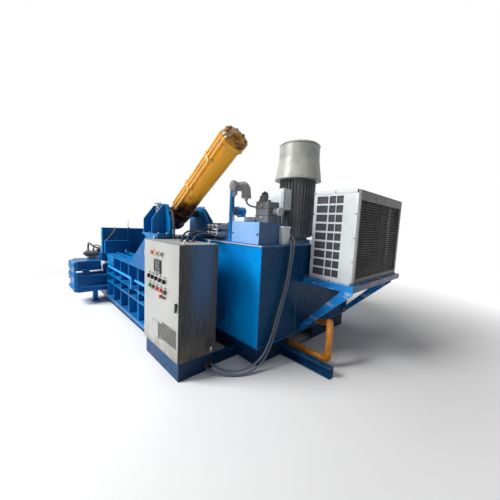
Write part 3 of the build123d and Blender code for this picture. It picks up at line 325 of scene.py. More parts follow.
def stainless_sheet():
    """Brushed stainless: upright grain, faint oil-canning, painted shade on the side that looks along +X, streaked and
    with a painted blue reflection across its middle, brown dust at its foot.
    """
    light, dull = (0.56, 0.56, 0.52), (0.43, 0.44, 0.42)
    steel = Finish("stainless_sheet", light, 0.36, metallic=0.35, gloss=0.35)
    grain = steel.noise(5, 4, 0.7, stretch=(90, 90, 1.2))
    shade = steel.mix(steel.span(steel.noise(1.6, 4), 0.35, 0.7), dull, light)
    shade = steel.mix(steel.span(grain, 0.35, 0.7, 0, 0.25), shade, (0.34, 0.35, 0.34))
    low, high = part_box("cabinet_shell")
    middle = (low.y + high.y) / 2 + 0.04
    off_middle = steel.maths("ABSOLUTE", steel.maths("SUBTRACT", steel.axis("Y"), middle))
    # Painted reflection: a bluish patch across the middle of the dark side, fading in above 0.45 m.
    painted_blue_reflection = steel.maths("MULTIPLY", steel.span(off_middle, 0.19, 0.06), steel.span(steel.axis("Z"), 0.45, 0.95))
    streaks = steel.noise(3, 6, 0.75, stretch=(18, 18, 1.6))
    # Painted shade: the side that looks along +X is near-black, with darker and paler streaks.
    side = steel.mix(steel.span(streaks, 0.4, 0.62), (0.022, 0.024, 0.026), (0.060, 0.064, 0.068))
    side = steel.mix(painted_blue_reflection, side, (0.038, 0.088, 0.19))
    side = steel.mix(steel.span(steel.noise(9, 6, 0.75, stretch=(22, 22, 1.2)), 0.62, 0.72, 0, 0.45), side, (0.20, 0.22, 0.25))
    facing = steel.span(steel.axis("X", steel.normal()), 0.4, 0.8)
    shade = steel.mix(facing, shade, side)
    foot = steel.span(steel.axis("Z"), 0.46, 0.22, 0, 0.55)
    shade = steel.mix(steel.maths("MULTIPLY", foot, steel.span(steel.noise(5, 5), 0.35, 0.6)), shade, (0.15, 0.115, 0.08))
    steel.base(shade)
    steel.rough(steel.span(grain, 0.3, 0.7, 0.32, 0.52))
    dents = steel.noise(4.5, 2)
    steel.relief((dents, 0.35, 0.008), (grain, 0.12, 0.0008), edge=0.0015)
    return steel.material


def bare_steel(name, light, dull, roughness, scale=9.0):
    """Machined or worn steel with scratches and a stain here and there."""
    steel = Finish(name, light, roughness, metallic=0.9)
    scratches = steel.noise(4, 5, 0.7, stretch=(60, 4, 60))
    shade = steel.mix(steel.span(steel.noise(scale, 6), 0.4, 0.65), dull, light)
    shade = steel.mix(steel.span(scratches, 0.6, 0.72, 0, 0.5), shade, dull)
    steel.base(shade)
    steel.rough(steel.span(scratches, 0.3, 0.7, roughness - 0.08, roughness + 0.16))
    steel.relief((scratches, 0.15, 0.0006), edge=0.0015)
    return steel.material


def liner_steel():
    """Wear plates, rubbed bright along X by scrap and rusted between."""
    bright, rust = (0.36, 0.35, 0.34), (0.16, 0.075, 0.035)
    steel = Finish("liner_steel", bright, 0.42, metallic=0.8)
    streaks = steel.noise(3, 5, 0.7, stretch=(0.6, 14, 14))
    steel.base(steel.mix(steel.span(streaks, 0.42, 0.62), rust, bright))
    steel.rough(steel.span(streaks, 0.3, 0.7, 0.62, 0.3))
    steel.relief((streaks, 0.35, 0.002), edge=0.002)
    return steel.material


def rod_chrome():
    """Hard chrome with fine turning marks and an oil film."""
    chrome = Finish("rod_chrome", (0.78, 0.78, 0.80), 0.10, metallic=1.0)
    marks = chrome.noise(2, 3, stretch=(160, 1, 160))
    chrome.base(chrome.mix(chrome.span(chrome.noise(6, 5), 0.5, 0.75, 0, 0.5), (0.78, 0.78, 0.80), (0.46, 0.42, 0.36)))
    chrome.rough(chrome.span(marks, 0.3, 0.7, 0.06, 0.18))
    chrome.relief((marks, 0.05, 0.0003), edge=0.001)
    return chrome.material


def machine_grey(name, light, dull, roughness, grit=0.15):
    """Grey paint or cast iron: pitted skin, greasy patches, rubbed edges."""
    grey = Finish(name, light, roughness)
    shade = grey.mix(grey.span(grey.noise(3.5, 6), 0.38, 0.66), dull, light)
    rubbed = grey.maths("MULTIPLY", grey.edges(0.004), grey.span(grey.noise(30, 4), 0.45, 0.6, 0, 0.7))
    shade = grey.mix(rubbed, shade, tuple(min(1.0, 1.5 * c) for c in light))
    grey.base(shade)
    grey.rough(grey.span(grey.noise(11, 4), 0.3, 0.7, roughness - 0.1, roughness + 0.12))
    grey.relief((grey.noise(90, 4), grit, 0.002), edge=0.0025)
    return grey.material


def cooler_sheet():
    """Pale powder-coated sheet with handling marks and a dusty foot; painted shade on the louvred +X side, near-black
    with paler streaks as painted glints.
    """
    pale, mark = (0.78, 0.82, 0.83), (0.56, 0.59, 0.60)
    sheet = Finish("cooler_sheet", pale, 0.38, coat=0.1, gloss=0.35)
    shade = sheet.mix(sheet.span(sheet.noise(3, 6), 0.54, 0.76, 0, 0.5), pale, mark)
    low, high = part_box("cooler_case")
    shade = sheet.mix(sheet.span(sheet.axis("Z"), low.z + 0.35, low.z, 0, 0.25), shade, (0.42, 0.41, 0.39))
    # Painted shade: the louvred +X side, past its first 66 mm, goes near-black, with paler streaks as painted glints.
    side_shade = sheet.mix(sheet.span(sheet.noise(6, 6, stretch=(1, 1.5, 12)), 0.42, 0.62), (0.018, 0.016, 0.014), (0.052, 0.048, 0.042))
    side_shade = sheet.mix(sheet.span(sheet.noise(4, 5, stretch=(1, 3, 26)), 0.62, 0.70, 0, 0.35), side_shade, (0.20, 0.20, 0.19))
    side = sheet.span(sheet.axis("X"), high.x - 0.0062, high.x - 0.0056)
    first = sheet.span(sheet.axis("Y"), low.y + 0.060, low.y + 0.066)
    shade = sheet.mix(sheet.maths("MULTIPLY", side, first), shade, side_shade)
    sheet.base(shade)
    sheet.rough(sheet.span(sheet.noise(12, 4), 0.3, 0.7, 0.32, 0.5))
    sheet.relief((sheet.noise(2.5, 2), 0.2, 0.006), (sheet.noise(260, 2), 0.12, 0.0008), edge=0.002)
    return sheet.material


def woven_screen():
    """A fine black wire screen over a dusty core."""
    screen = Finish("woven_screen", (0.03, 0.032, 0.04), 0.6, gloss=0.3)
    across = screen.node("ShaderNodeTexWave", wave_type="BANDS", bands_direction="X")
    upright = screen.node("ShaderNodeTexWave", wave_type="BANDS", bands_direction="Z")
    for wires in (across, upright):
        screen.feed(wires.inputs["Vector"], screen.place)
        wires.inputs["Scale"].default_value = 48
    weave = screen.maths("MAXIMUM", across.outputs["Fac"], upright.outputs["Fac"])
    shade = screen.mix(screen.span(weave, 0.55, 0.9), (0.020, 0.020, 0.028), (0.10, 0.10, 0.12))
    dusty = screen.span(screen.noise(8, 6), 0.5, 0.7, 0, 0.5)
    screen.base(screen.mix(dusty, shade, (0.15, 0.15, 0.17)))
    screen.rough(screen.span(screen.noise(20), 0.3, 0.7, 0.5, 0.8))
    screen.relief((weave, 0.5, 0.001))
    return screen.material


def weld_bead():
    """A weld's stacked ripples, painted over, with painted shade in the dips."""
    bead = Finish("weld_bead", (0.0, 0.15, 0.46), 0.4, gloss=0.3)
    ripples = bead.noise(85, 4, 0.6)
    # Painted shade: the ripples' dips, where the bump sinks, take a dark blue.
    bead.base(bead.mix(bead.span(ripples, 0.35, 0.62), (0.0, 0.06, 0.20), (0.01, 0.24, 0.66)))
    bead.rough(bead.span(ripples, 0.3, 0.7, 0.3, 0.6))
    bead.relief((ripples, 0.7, 0.004))
    return bead.material


def enamel(name, pale, mark, roughness=0.4):
    """Sprayed enamel on sheet or castings: orange peel, thumb marks, rubbed edges."""
    coat = Finish(name, pale, roughness, coat=0.08, gloss=0.35)
    shade = coat.mix(coat.span(coat.noise(6, 6), 0.5, 0.75, 0, 0.8), pale, mark)
    shade = coat.mix(coat.maths("MULTIPLY", coat.edges(0.003), coat.span(coat.noise(40, 4), 0.5, 0.65)), shade, mark)
    coat.base(shade)
    coat.rough(coat.span(coat.noise(14, 4), 0.3, 0.7, roughness - 0.08, roughness + 0.12))
    coat.relief((coat.noise(180, 3), 0.14, 0.001), edge=0.002)
    return coat.material


def bend_paint():
    """Grey elbow over a blue upright pipe and a blue filter bowl, split by height."""
    paint = Finish("bend_paint", (0.40, 0.42, 0.45), 0.34, coat=0.1, gloss=0.35)
    grey = paint.mix(paint.span(paint.noise(5, 6), 0.4, 0.66), (0.26, 0.28, 0.31), (0.44, 0.46, 0.50))
    blue = paint.mix(paint.span(paint.noise(2, 5), 0.4, 0.62), (0.0, 0.13, 0.42), (0.0, 0.22, 0.62))
    shade = paint.mix(paint.span(paint.axis("Z"), 1.996, 2.000), blue, grey)
    beyond = paint.span(paint.axis("X"), 1.150, 1.152)
    shade = paint.mix(beyond, shade, grey)
    paint.base(shade)
    paint.rough(paint.span(paint.noise(9, 4), 0.3, 0.7, 0.26, 0.46))
    paint.relief((paint.noise(110, 3), 0.15, 0.0012), edge=0.002)
    return paint.material


def radiator_fins():
    """Packed aluminium fins: fine upright lines over flat tubes."""
    fins = Finish("radiator_fins", (0.42, 0.43, 0.45), 0.45, metallic=0.7)
    lines = fins.node("ShaderNodeTexWave", wave_type="BANDS", bands_direction="X")
    fins.feed(lines.inputs["Vector"], fins.place)
    lines.inputs["Scale"].default_value = 90
    tubes = fins.node("ShaderNodeTexWave", wave_type="BANDS", bands_direction="Z")
    fins.feed(tubes.inputs["Vector"], fins.place)
    tubes.inputs["Scale"].default_value = 16
    dark = fins.maths("MULTIPLY", lines.outputs["Fac"], tubes.outputs["Fac"])
    fins.base(fins.mix(dark, (0.10, 0.10, 0.11), (0.50, 0.51, 0.53)))
    fins.rough(fins.span(fins.noise(10), 0.3, 0.7, 0.35, 0.6))
    fins.relief((lines.outputs["Fac"], 0.5, 0.002), (tubes.outputs["Fac"], 0.4, 0.003))
    return fins.material


def moulded_plastic(name, colour, roughness, grain=0.1):
    """Moulded plastic with a fine grain, slightly worn to a paler tone."""
    plastic = Finish(name, colour, roughness)
    paler = tuple(min(1.0, 0.03 + 1.25 * c) for c in colour)
    plastic.base(plastic.mix(plastic.span(plastic.noise(24, 5), 0.45, 0.75), colour, paler))
    plastic.rough(plastic.span(plastic.noise(30, 3), 0.3, 0.7, roughness - 0.07, roughness + 0.1))
    plastic.relief((plastic.noise(600, 2), grain, 0.0003), edge=0.0008)
    return plastic.material


def lamp_glass(name, colour):
    """A tinted lamp cap with a ribbed lens."""
    glass = Finish(name, colour, 0.12, coat=0.6)
    rings = glass.node("ShaderNodeTexWave", wave_type="BANDS", bands_direction="Z")
    glass.feed(rings.inputs["Vector"], glass.place)
    rings.inputs["Scale"].default_value = 110
    glass.base(glass.mix(glass.span(rings.outputs["Fac"], 0, 1, 0, 0.4), colour, tuple(0.5 + 0.5 * c for c in colour)))
    glass.relief((rings.outputs["Fac"], 0.3, 0.0006))
    return glass.material


def cord_sheath(name, colour, crest_highlight, ridges, roughness=0.42):
    """A cord's cover, with ridges counted along its length by the curve's own UV, their crests in a paler colour as a
    painted highlight.
    """
    sheath = Finish(name, colour, roughness)
    along = sheath.axis("X", sheath.node("ShaderNodeTexCoord").outputs["UV"])
    ring = sheath.maths("SINE", sheath.maths("MULTIPLY", along, 2 * math.pi * ridges))
    # Painted highlight: the ridges' crests take the paler colour.
    sheath.base(sheath.mix(sheath.span(ring, 0.2, 0.9), colour, crest_highlight))
    sheath.rough(sheath.span(sheath.noise(30, 3), 0.3, 0.7, roughness - 0.08, roughness + 0.1))
    sheath.relief((ring, 0.6, 0.0012))
    return sheath.material


# Shaping: bpy.ops wrappers that work with no window


def deselect():
    if bpy.context.object and bpy.context.object.mode != "OBJECT":
        bpy.ops.object.mode_set(mode="OBJECT")
    bpy.ops.object.select_all(action="DESELECT")


def activate(*objects):
    deselect()
    for each in objects:
        each.select_set(True)
    bpy.context.view_layer.objects.active = objects[0]


def block(low, high, edge=0.0, segments=2):
    """A cuboid between two corners, with rounded edges where edge is given."""
    deselect()
    low, high = Vector(low), Vector(high)
    bpy.ops.mesh.primitive_cube_add(size=1, location=(low + high) / 2)
    made = bpy.context.object
    made.scale = high - low
    bpy.ops.object.transform_apply(location=False, rotation=False, scale=True)
    if edge:
        rounding = made.modifiers.new("edges", "BEVEL")
        rounding.width = edge
        rounding.segments = segments
        bpy.ops.object.modifier_apply(modifier=rounding.name)
    return made


def drum(middle, radius, depth, axis="Z", sides=32, edge=0.0, tip=None):
    """A round bar centred on a point; tip is the radius at its far end, where it tapers."""
    deselect()
    turn = {"X": (0, math.pi / 2, 0), "Y": (-math.pi / 2, 0, 0), "Z": (0, 0, 0)}[axis]
    bpy.ops.mesh.primitive_cone_add(
        vertices=sides, radius1=radius, radius2=radius if tip is None else tip, depth=depth, location=middle, rotation=turn
    )
    made = bpy.context.object
    if edge:
        rounding = made.modifiers.new("edges", "BEVEL")
        rounding.width = edge
        rounding.segments = 2
        rounding.limit_method = "ANGLE"
        rounding.angle_limit = math.radians(40)
        bpy.ops.object.modifier_apply(modifier=rounding.name)
    return made


def ring(middle, radius, thickness, axis="Z", sides=32):
    """A round hoop of round section."""
    deselect()
    turn = {"X": (0, math.pi / 2, 0), "Y": (math.pi / 2, 0, 0), "Z": (0, 0, 0)}[axis]
    bpy.ops.mesh.primitive_torus_add(
        major_radius=radius, minor_radius=thickness, major_segments=sides, minor_segments=10, location=middle, rotation=turn
    )
    return bpy.context.object


def copies(piece, places):
    """The piece, modelled at the origin, copied to each place with a mesh of its own; the model itself goes."""
    made = []
    for place in places:
        copy = piece.copy()
        copy.data = piece.data.copy()
        bpy.context.scene.collection.objects.link(copy)
        copy.matrix_world = (place if isinstance(place, Matrix) else Matrix.Translation(place)) @ piece.matrix_world
        made.append(copy)
    bpy.data.objects.remove(piece)
    return made


def piece(parts, name, body, material, slot, smooth=35):
    """Joins parts to one named piece at the origin, in its finish, riding on a body."""
    parts = list(parts) if isinstance(parts, (list, tuple)) else [parts]
    activate(*parts)
    if len(parts) > 1:
        bpy.ops.object.join()
    made = bpy.context.object
    bpy.ops.object.transform_apply(location=True, rotation=True, scale=True)
    bpy.ops.object.shade_smooth_by_angle(angle=math.radians(smooth))
    made.name = name
    made.data.materials.clear()
    made.data.materials.append(material)
    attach(made, body)
    return made


TURN_TO = {
    "+X": Matrix.Rotation(math.pi / 2, 4, "Y"),
    "-X": Matrix.Rotation(-math.pi / 2, 4, "Y"),
    "+Y": Matrix.Rotation(-math.pi / 2, 4, "X"),
    "-Y": Matrix.Rotation(math.pi / 2, 4, "X"),
    "+Z": Matrix.Identity(4),
    "-Z": Matrix.Rotation(math.pi, 4, "X"),
}


def hex_bolts(places, size, facing):
    """Hex heads on washers, standing off a face that looks along facing. size is the thread's, in metres."""
    washer = drum((0, 0, 0.08 * size), 1.0 * size, 0.16 * size, sides=20)
    head = drum((0, 0, 0.46 * size), 0.88 * size, 0.64 * size, sides=6, edge=0.05 * size)
    stub = drum((0, 0, 0.90 * size), 0.46 * size, 0.34 * size, sides=16, edge=0.05 * size)
    activate(washer, head, stub)
    bpy.ops.object.join()
    model = bpy.context.object
    bpy.ops.object.transform_apply(location=True, rotation=True, scale=True)
    return copies(model, [Matrix.Translation(p) @ TURN_TO[facing] for p in places])


def weld_run(start, end, leg=0.009):
    """A fillet weld as a rippled bead between two points."""
    start, end = Vector(start), Vector(end)
    length = (end - start).length
    deselect()
    bpy.ops.mesh.primitive_cylinder_add(vertices=8, radius=leg, depth=length, end_fill_type="TRIFAN")
    bead = bpy.context.object
    bead.matrix_world = Matrix.Translation((start + end) / 2) @ (end - start).to_track_quat("Z", "Y").to_matrix().to_4x4()
    return bead


def carve(body, cutter):
    """Cuts one solid out of another with an applied Boolean and removes the cutter."""
    activate(body)
    cut = body.modifiers.new("cut", "BOOLEAN")
    cut.operation = "DIFFERENCE"
    cut.solver = "EXACT"
    cut.object = cutter
    bpy.ops.object.modifier_apply(modifier=cut.name)
    bpy.data.objects.remove(cutter)


# Cords: NURBS curves on the routes of the part's source, in metres
CONDUIT_1 = [
    (1.190, 1.046, 1.815), (1.190, 1.046, 1.700), (1.290, 0.930, 1.580), (1.450, 0.840, 1.515),
    (1.610, 0.775, 1.500), (1.740, 0.720, 1.478), (1.806, 0.672, 1.400), (1.800, 0.658, 1.230),
    (1.797, 0.640, 1.060), (1.798, 0.600, 0.890), (1.796, 0.535, 0.720), (1.800, 0.470, 0.550),
    (1.803, 0.410, 0.390), (1.803, 0.345, 0.250), (1.800, 0.250, 0.140), (1.770, 0.110, 0.066),
    (1.700, -0.020, 0.034), (1.600, -0.120, 0.040), (1.510, -0.185, 0.076), (1.423, -0.185, 0.076),
]
CONDUIT_2 = [
    (1.330, 1.046, 1.815), (1.330, 1.046, 1.715), (1.410, 0.940, 1.610), (1.520, 0.865, 1.545),
    (1.640, 0.810, 1.520), (1.750, 0.760, 1.496), (1.812, 0.712, 1.412), (1.804, 0.698, 1.238),
    (1.798, 0.682, 1.064), (1.799, 0.644, 0.892), (1.797, 0.582, 0.722), (1.801, 0.518, 0.552),
    (1.804, 0.458, 0.392), (1.806, 0.396, 0.252), (1.812, 0.300, 0.130), (1.808, 0.160, 0.048),
    (1.752, 0.000, 0.016), (1.650, -0.130, 0.018), (1.530, -0.240, 0.046), (1.423, -0.240, 0.046),
]
SENSOR_CABLE = [
    (1.750, 0.985, 1.012), (1.842, 0.985, 1.012), (1.868, 0.912, 0.975), (1.840, 0.858, 0.880),
    (1.806, 0.838, 0.770), (1.799, 0.832, 0.650), (1.801, 0.834, 0.520), (1.800, 0.848, 0.400),
    (1.803, 0.848, 0.300), (1.802, 0.806, 0.236), (1.800, 0.760, 0.200), (1.800, 0.760, 0.120),
]
UPPER_HOSE = [
    (1.275, 0.390, 1.950), (1.275, 0.390, 1.902), (1.292, 0.440, 1.860), (1.326, 0.500, 1.850), (1.366, 0.500, 1.850),
]
LOWER_HOSE = [
    (1.032, 0.390, 2.000), (1.032, 0.390, 1.905), (1.040, 0.395, 1.815), (1.078, 0.412, 1.740),
    (1.160, 0.450, 1.712), (1.270, 0.500, 1.715), (1.366, 0.500, 1.715),
]


VALVE_HOSE = [
    (-2.050, -0.690, 1.010), (-2.050, -0.690, 1.075), (-2.015, -0.692, 1.125), (-1.930, -0.695, 1.142),
    (-1.840, -0.680, 1.122), (-1.770, -0.645, 1.082), (-1.740, -0.595, 1.060), (-1.740, -0.530, 1.060),
]
LINK_HOSE = [
    (-2.050, -0.600, 1.010), (-2.050, -0.600, 1.060), (-2.020, -0.575, 1.095), (-1.965, -0.520, 1.085),
    (-1.925, -0.475, 1.035), (-1.925, -0.470, 0.960),
]
PEDESTAL_HOSE = [
    (0.558, -0.270, 1.740), (0.600, -0.270, 1.766), (0.655, -0.272, 1.735), (0.688, -0.276, 1.650),
    (0.700, -0.272, 1.560), (0.692, -0.268, 1.470), (0.692, -0.268, 1.404),
]
ROW_CABLE_1 = [
    (1.020, -0.330, 1.406), (1.020, -0.330, 1.462), (1.000, -0.270, 1.510), (0.940, -0.170, 1.528),
    (0.860, -0.050, 1.520), (0.780, 0.080, 1.500), (0.704, 0.200, 1.440), (0.704, 0.290, 1.425),
    (0.704, 0.370, 1.425),
]
ROW_CABLE_2 = [
    (1.085, -0.300, 1.406), (1.085, -0.300, 1.455), (1.070, -0.235, 1.500), (1.010, -0.130, 1.514),
    (0.940, -0.010, 1.500), (0.870, 0.100, 1.480), (0.794, 0.210, 1.436), (0.794, 0.295, 1.425),
    (0.794, 0.370, 1.425),
]
ROW_CABLE_3 = [
    (1.150, -0.265, 1.406), (1.150, -0.265, 1.448), (1.140, -0.195, 1.488), (1.085, -0.090, 1.494),
    (1.020, 0.030, 1.480), (0.950, 0.130, 1.465), (0.884, 0.220, 1.432), (0.884, 0.300, 1.425),
    (0.884, 0.370, 1.425),
]


def lay_cord(name, route, radius, material, in_frame=True):
    curve = bpy.data.curves.new(name, "CURVE")
    curve.dimensions = "3D"
    spline = curve.splines.new("NURBS")
    spline.points.add(len(route) - 1)
    for point, place in zip(spline.points, route):
        point.co = (*place, 1)
    spline.order_u = 3
    spline.use_endpoint_u = True
    curve.resolution_u = 10
    curve.bevel_depth = radius
    curve.bevel_resolution = 4
    curve.use_fill_caps = True
    cord = bpy.data.objects.new(name + "_line", curve)
    bpy.context.scene.collection.objects.link(cord)
    curve.materials.append(material)
    if in_frame:
        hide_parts(name)
    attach(cord, "frame")


def lay_cords():
    sheath = cord_sheath("conduit_sheath", (0.006, 0.020, 0.050), (0.40, 0.46, 0.52), 115)
    cable = cord_sheath("cable_sheath", (0.01, 0.06, 0.10), (0.02, 0.09, 0.14), 40)
    hose = cord_sheath("hose_cover", (0.0, 0.07, 0.21), (0.002, 0.10, 0.28), 60, 0.3)
    lay_cord("conduit_1", CONDUIT_1, 0.012, sheath)
    lay_cord("conduit_2", CONDUIT_2, 0.012, sheath)
    lay_cord("sensor_cable", SENSOR_CABLE, 0.005, cable)
    lay_cord("pilot_hose_upper", UPPER_HOSE, 0.010, hose)
    lay_cord("pilot_hose_lower", LOWER_HOSE, 0.010, hose)
    rubber = cord_sheath("hose_rubber", (0.010, 0.010, 0.012), (0.020, 0.020, 0.024), 50, 0.28)
    lay_cord("valve_hose", VALVE_HOSE, 0.016, rubber, False)
    lay_cord("link_hose", LINK_HOSE, 0.011, rubber, False)
    lay_cord("pedestal_hose", PEDESTAL_HOSE, 0.013, rubber, False)
    lay_cord("row_cable_1", ROW_CABLE_1, 0.011, rubber, False)
    lay_cord("row_cable_2", ROW_CABLE_2, 0.011, rubber, False)
    lay_cord("row_cable_3", ROW_CABLE_3, 0.011, rubber, False)


# Press: welds, chain, guard pipe, latch and trunnion details
RIB_X = [-1.630 + 0.405 * step for step in range(6)]
RIB_T = 0.020
WALL_Y = 0.350
BAYS_Z = ((0.170, 0.443), (0.463, 0.589), (0.609, 0.938))


def press_welds():
    """Fillet welds of ribs and stringers on both walls, joined to one piece a side."""
    for side, name in ((-1, "near_wall_welds"), (1, "far_wall_welds")):
        face = side * (WALL_Y + 0.002)
        beads = []
        for rib in RIB_X:
            for x in (rib - 0.002, rib + RIB_T + 0.002):
                for low, high in BAYS_Z:
                    beads.append(weld_run((x, face, low), (x, face, high), 0.006))
        for left, right in zip(RIB_X, RIB_X[1:]):
            for z in (0.443, 0.463, 0.589, 0.609, 0.938):
                beads.append(weld_run((left + RIB_T, face, z), (right, face, z), 0.006))
        piece(beads, name, "frame", finishes["weld_bead"], "press_blue")
    seams = []
    for x in (-2.18, -1.73):
        for z in (0.252, 0.818):
            seams.append(weld_run((x, -0.919, z), (x, -0.47, z), 0.007))
    for y in (-0.524, 0.524):
        seams.append(weld_run((-1.722, y, 0.960), (-1.722, y, 1.445), 0.007))
    for side in (-1, 1):
        for x in (0.190, 0.480):
            seams.append(weld_run((x, side * 0.292, 1.464), (x, side * 0.455, 1.464), 0.007))
        seams.append(weld_run((0.165, side * 0.292, 1.466), (0.615, side * 0.292, 1.466), 0.007))
        seams.append(weld_run((-0.372, side * 0.462, 0.958), (0.545, side * 0.462, 0.958), 0.006))
    piece(seams, "frame_welds", "frame", finishes["weld_bead"], "press_blue")


def chain_link():
    """One link, modelled upright at the origin."""
    loop = ring((0, 0, 0), 0.011, 0.0032, "Y", sides=14)
    loop.scale = (0.72, 1, 1.25)
    activate(loop)
    bpy.ops.object.transform_apply(location=False, rotation=True, scale=True)
    return loop


def hopper_chain():
    """The safety chain hooked over the end wall, hanging across its face to the stiffener's ledge."""
    top, foot = Vector((-1.706, -0.291, 1.440)), Vector((-1.690, -0.457, 1.216))
    run = foot - top
    count = 14
    turn = run.to_track_quat("Z", "Y").to_matrix().to_4x4()
    places = []
    for step in range(count):
        sag = -0.012 * math.sin(math.pi * step / (count - 1))
        spot = top + run * (step / (count - 1)) + Vector((0, 0, sag))
        places.append(Matrix.Translation(spot) @ turn @ Matrix.Rotation(math.pi / 2 * (step % 2), 4, "Z"))
    links = copies(chain_link(), places)
    hook = ring((-1.714, -0.288, 1.450), 0.014, 0.004, "Y", sides=20)
    eye = ring((-1.700, -0.457, 1.205), 0.012, 0.004, "X", sides=20)
    piece([*links, hook, eye], "hopper_chain", "frame", finishes["brass_chain"], "pin_steel")


def end_wall_details():
    """Ledge and corner strips on the end wall, and the pale gauge post."""
    ledge = block((-1.700, -0.490, 1.196), (-1.682, -0.055, 1.208), 0.003)
    edge_strip = block((-1.722, -0.532, 0.960), (-1.700, -0.512, 1.452), 0.003)
    inner_strip = block((-1.700, -0.492, 0.962), (-1.684, -0.474, 1.206), 0.003)
    piece([ledge, edge_strip, inner_strip], "end_wall_strips", "frame", finishes["painted_lit_blue"], "press_blue")
    post = drum((-1.706, -0.068, 1.525), 0.009, 0.150, sides=20, edge=0.002)
    collar = drum((-1.706, -0.068, 1.462), 0.015, 0.030, sides=6, edge=0.002)
    cap = drum((-1.706, -0.068, 1.603), 0.012, 0.014, sides=20, edge=0.003)
    piece([post, collar, cap], "gauge_post", "frame", finishes["box_enamel"], "cooler_white")


def pedestal_details():
    """Trunnion end caps with keeper bars and bolts, and foot bolts."""
    for side, name in ((-1, "near"), (1, "far")):
        facing = "-Y" if side < 0 else "+Y"
        cap = drum((0.350, side * 0.336, 1.760), 0.052, 0.012, "Y", sides=40, edge=0.003)
        keeper = block(
            (0.262, min(side * 0.322, side * 0.336), 1.838), (0.438, max(side * 0.322, side * 0.336), 1.862), 0.003
        )
        bolts = hex_bolts(
            [(0.285, side * 0.336, 1.850), (0.415, side * 0.336, 1.850)]
            + [
                (0.350 + 0.034 * math.cos(angle), side * 0.342, 1.760 + 0.034 * math.sin(angle))
                for angle in (math.pi / 4, 3 * math.pi / 4, 5 * math.pi / 4, 7 * math.pi / 4)
            ],
            0.009,
            facing,
        )
        feet = hex_bolts(
            [(x, side * y, 1.463) for x in (0.178, 0.330, 0.604) for y in (0.320, 0.430)], 0.016, "+Z"
        )
        piece([cap, keeper, *bolts, *feet], name + "_trunnion_keeper", "frame", finishes["pin_steel"], "pin_steel")


def nut_at(place, size, axis):
    """A tube nut: a hexagon with a round shoulder."""
    nut = drum(place, size, 1.3 * size, axis, sides=6, edge=0.08 * size)
    shoulder = drum(place, 0.78 * size, 2.0 * size, axis, sides=20, edge=0.06 * size)
    return [nut, shoulder]


def bent_pipe(corners, radius, bend, sides=24):
    """A round pipe through corner points, its bends rounded off."""
    points = [Vector(corner) for corner in corners]
    parts = []
    start = points[0]
    for before, corner, after in zip(points, points[1:], points[2:]):
        into, out = (corner - before).normalized(), (after - corner).normalized()
        normal = into.cross(out).normalized()
        reach = bend * math.tan(into.angle(out) / 2)
        end = corner - into * reach
        parts.append(straight_bar(start, end, radius, sides))
        hub = end + normal.cross(into) * bend
        steps = 6
        last = end
        for step in range(1, steps + 1):
            swing = Matrix.Rotation(into.angle(out) * step / steps, 3, normal)
            here = hub + swing @ (end - hub)
            parts.append(straight_bar(last, here, radius, sides, 0.35 * radius))
            last = here
        start = last
    parts.append(straight_bar(start, points[-1], radius, sides))
    return parts


def straight_bar(start, end, radius, sides=24, lap=0.0):
    """A round bar between two points, lengthened by lap at both ends."""
    along = end - start
    bar = drum((0, 0, 0), radius, along.length + 2 * lap, sides=sides)
    bar.matrix_world = Matrix.Translation((start + end) / 2) @ along.to_track_quat("Z", "Y").to_matrix().to_4x4()
    return bar


def guard_details():
    """The near frame's guard pipe on its clips, the round-cornered cover and the corner gusset."""
    pipes = bent_pipe([(-1.4275, -0.484, 0.755), (-0.2125, -0.484, 0.755), (-0.2125, -0.484, 0.599)], 0.018, 0.045)
    pipes.append(straight_bar(Vector((-0.0425, -0.484, 0.755)), Vector((0.490, -0.484, 0.755)), 0.018))
    foot = block((-0.2275, -0.482, 0.589), (-0.1975, -0.458, 0.609), 0.002)
    clips = [block((x, -0.482, 0.743), (x + 0.020, -0.458, 0.767), 0.002) for x in RIB_X[1:]]
    piece([*pipes, foot, *clips], "near_guard_pipe", "frame", finishes["painted_lit_blue"], "press_blue")
    cover = block((-1.612, -0.461, 0.768), (-1.223, -0.453, 0.937), 0.003)
    bolts = hex_bolts([(x, -0.461, z) for x in (-1.590, -1.245) for z in (0.790, 0.915)], 0.008, "-Y")
    piece([cover], "first_bay_cover", "frame", finishes["press_blue"], "press_blue")
    piece(bolts, "first_bay_bolts", "frame", finishes["pin_steel"], "pin_steel")
    gusset = block((0.020, -0.472, 0.378), (0.300, -0.460, 0.609), 0.002)
    slant = block((-0.30, -0.030, -0.30), (0.30, 0.030, 0.0), 0.0)
    slant.matrix_world = Matrix.Translation((0.045, -0.466, 0.378)) @ Matrix.Rotation(-math.radians(40), 4, "Y")
    carve(gusset, slant)
    piece([gusset], "corner_gusset", "frame", finishes["painted_lit_blue"], "press_blue")


def chamber_feet():
    """Two legs with foot plates under the bale chamber's ends."""
    legs = []
    for y in (-0.600, 0.600):
        legs.append(block((-1.995, y - 0.040, 0.012), (-1.915, y + 0.040, 0.251), 0.004))
        legs.append(block((-2.025, y - 0.065, 0.0), (-1.885, y + 0.065, 0.014), 0.003))
        for x in (-1.997, -1.913):
            legs.append(weld_run((x, y - 0.040, 0.016), (x, y + 0.040, 0.016), 0.006))
            legs.append(weld_run((x, y - 0.040, 0.248), (x, y + 0.040, 0.248), 0.006))
    piece(legs, "chamber_legs", "frame", finishes["press_blue"], "press_blue")


def latch_details():
    """Grip on the swing bolt's handle and its clamp nut, which ride with the bolt."""
    grip = drum((-1.695, -0.530, 0.765), 0.017, 0.070, sides=24, edge=0.006)
    knob = drum((-1.695, -0.530, 0.805), 0.024, 0.030, sides=24, edge=0.010)
    nut = drum((-1.695, -0.525, 0.640), 0.027, 0.030, "Y", sides=6, edge=0.002)
    piece([grip, knob], "latch_grip", "latch_bolt", finishes["box_enamel"], "rod_chrome")
    piece([nut], "latch_nut", "latch_bolt", finishes["pin_steel"], "rod_chrome")


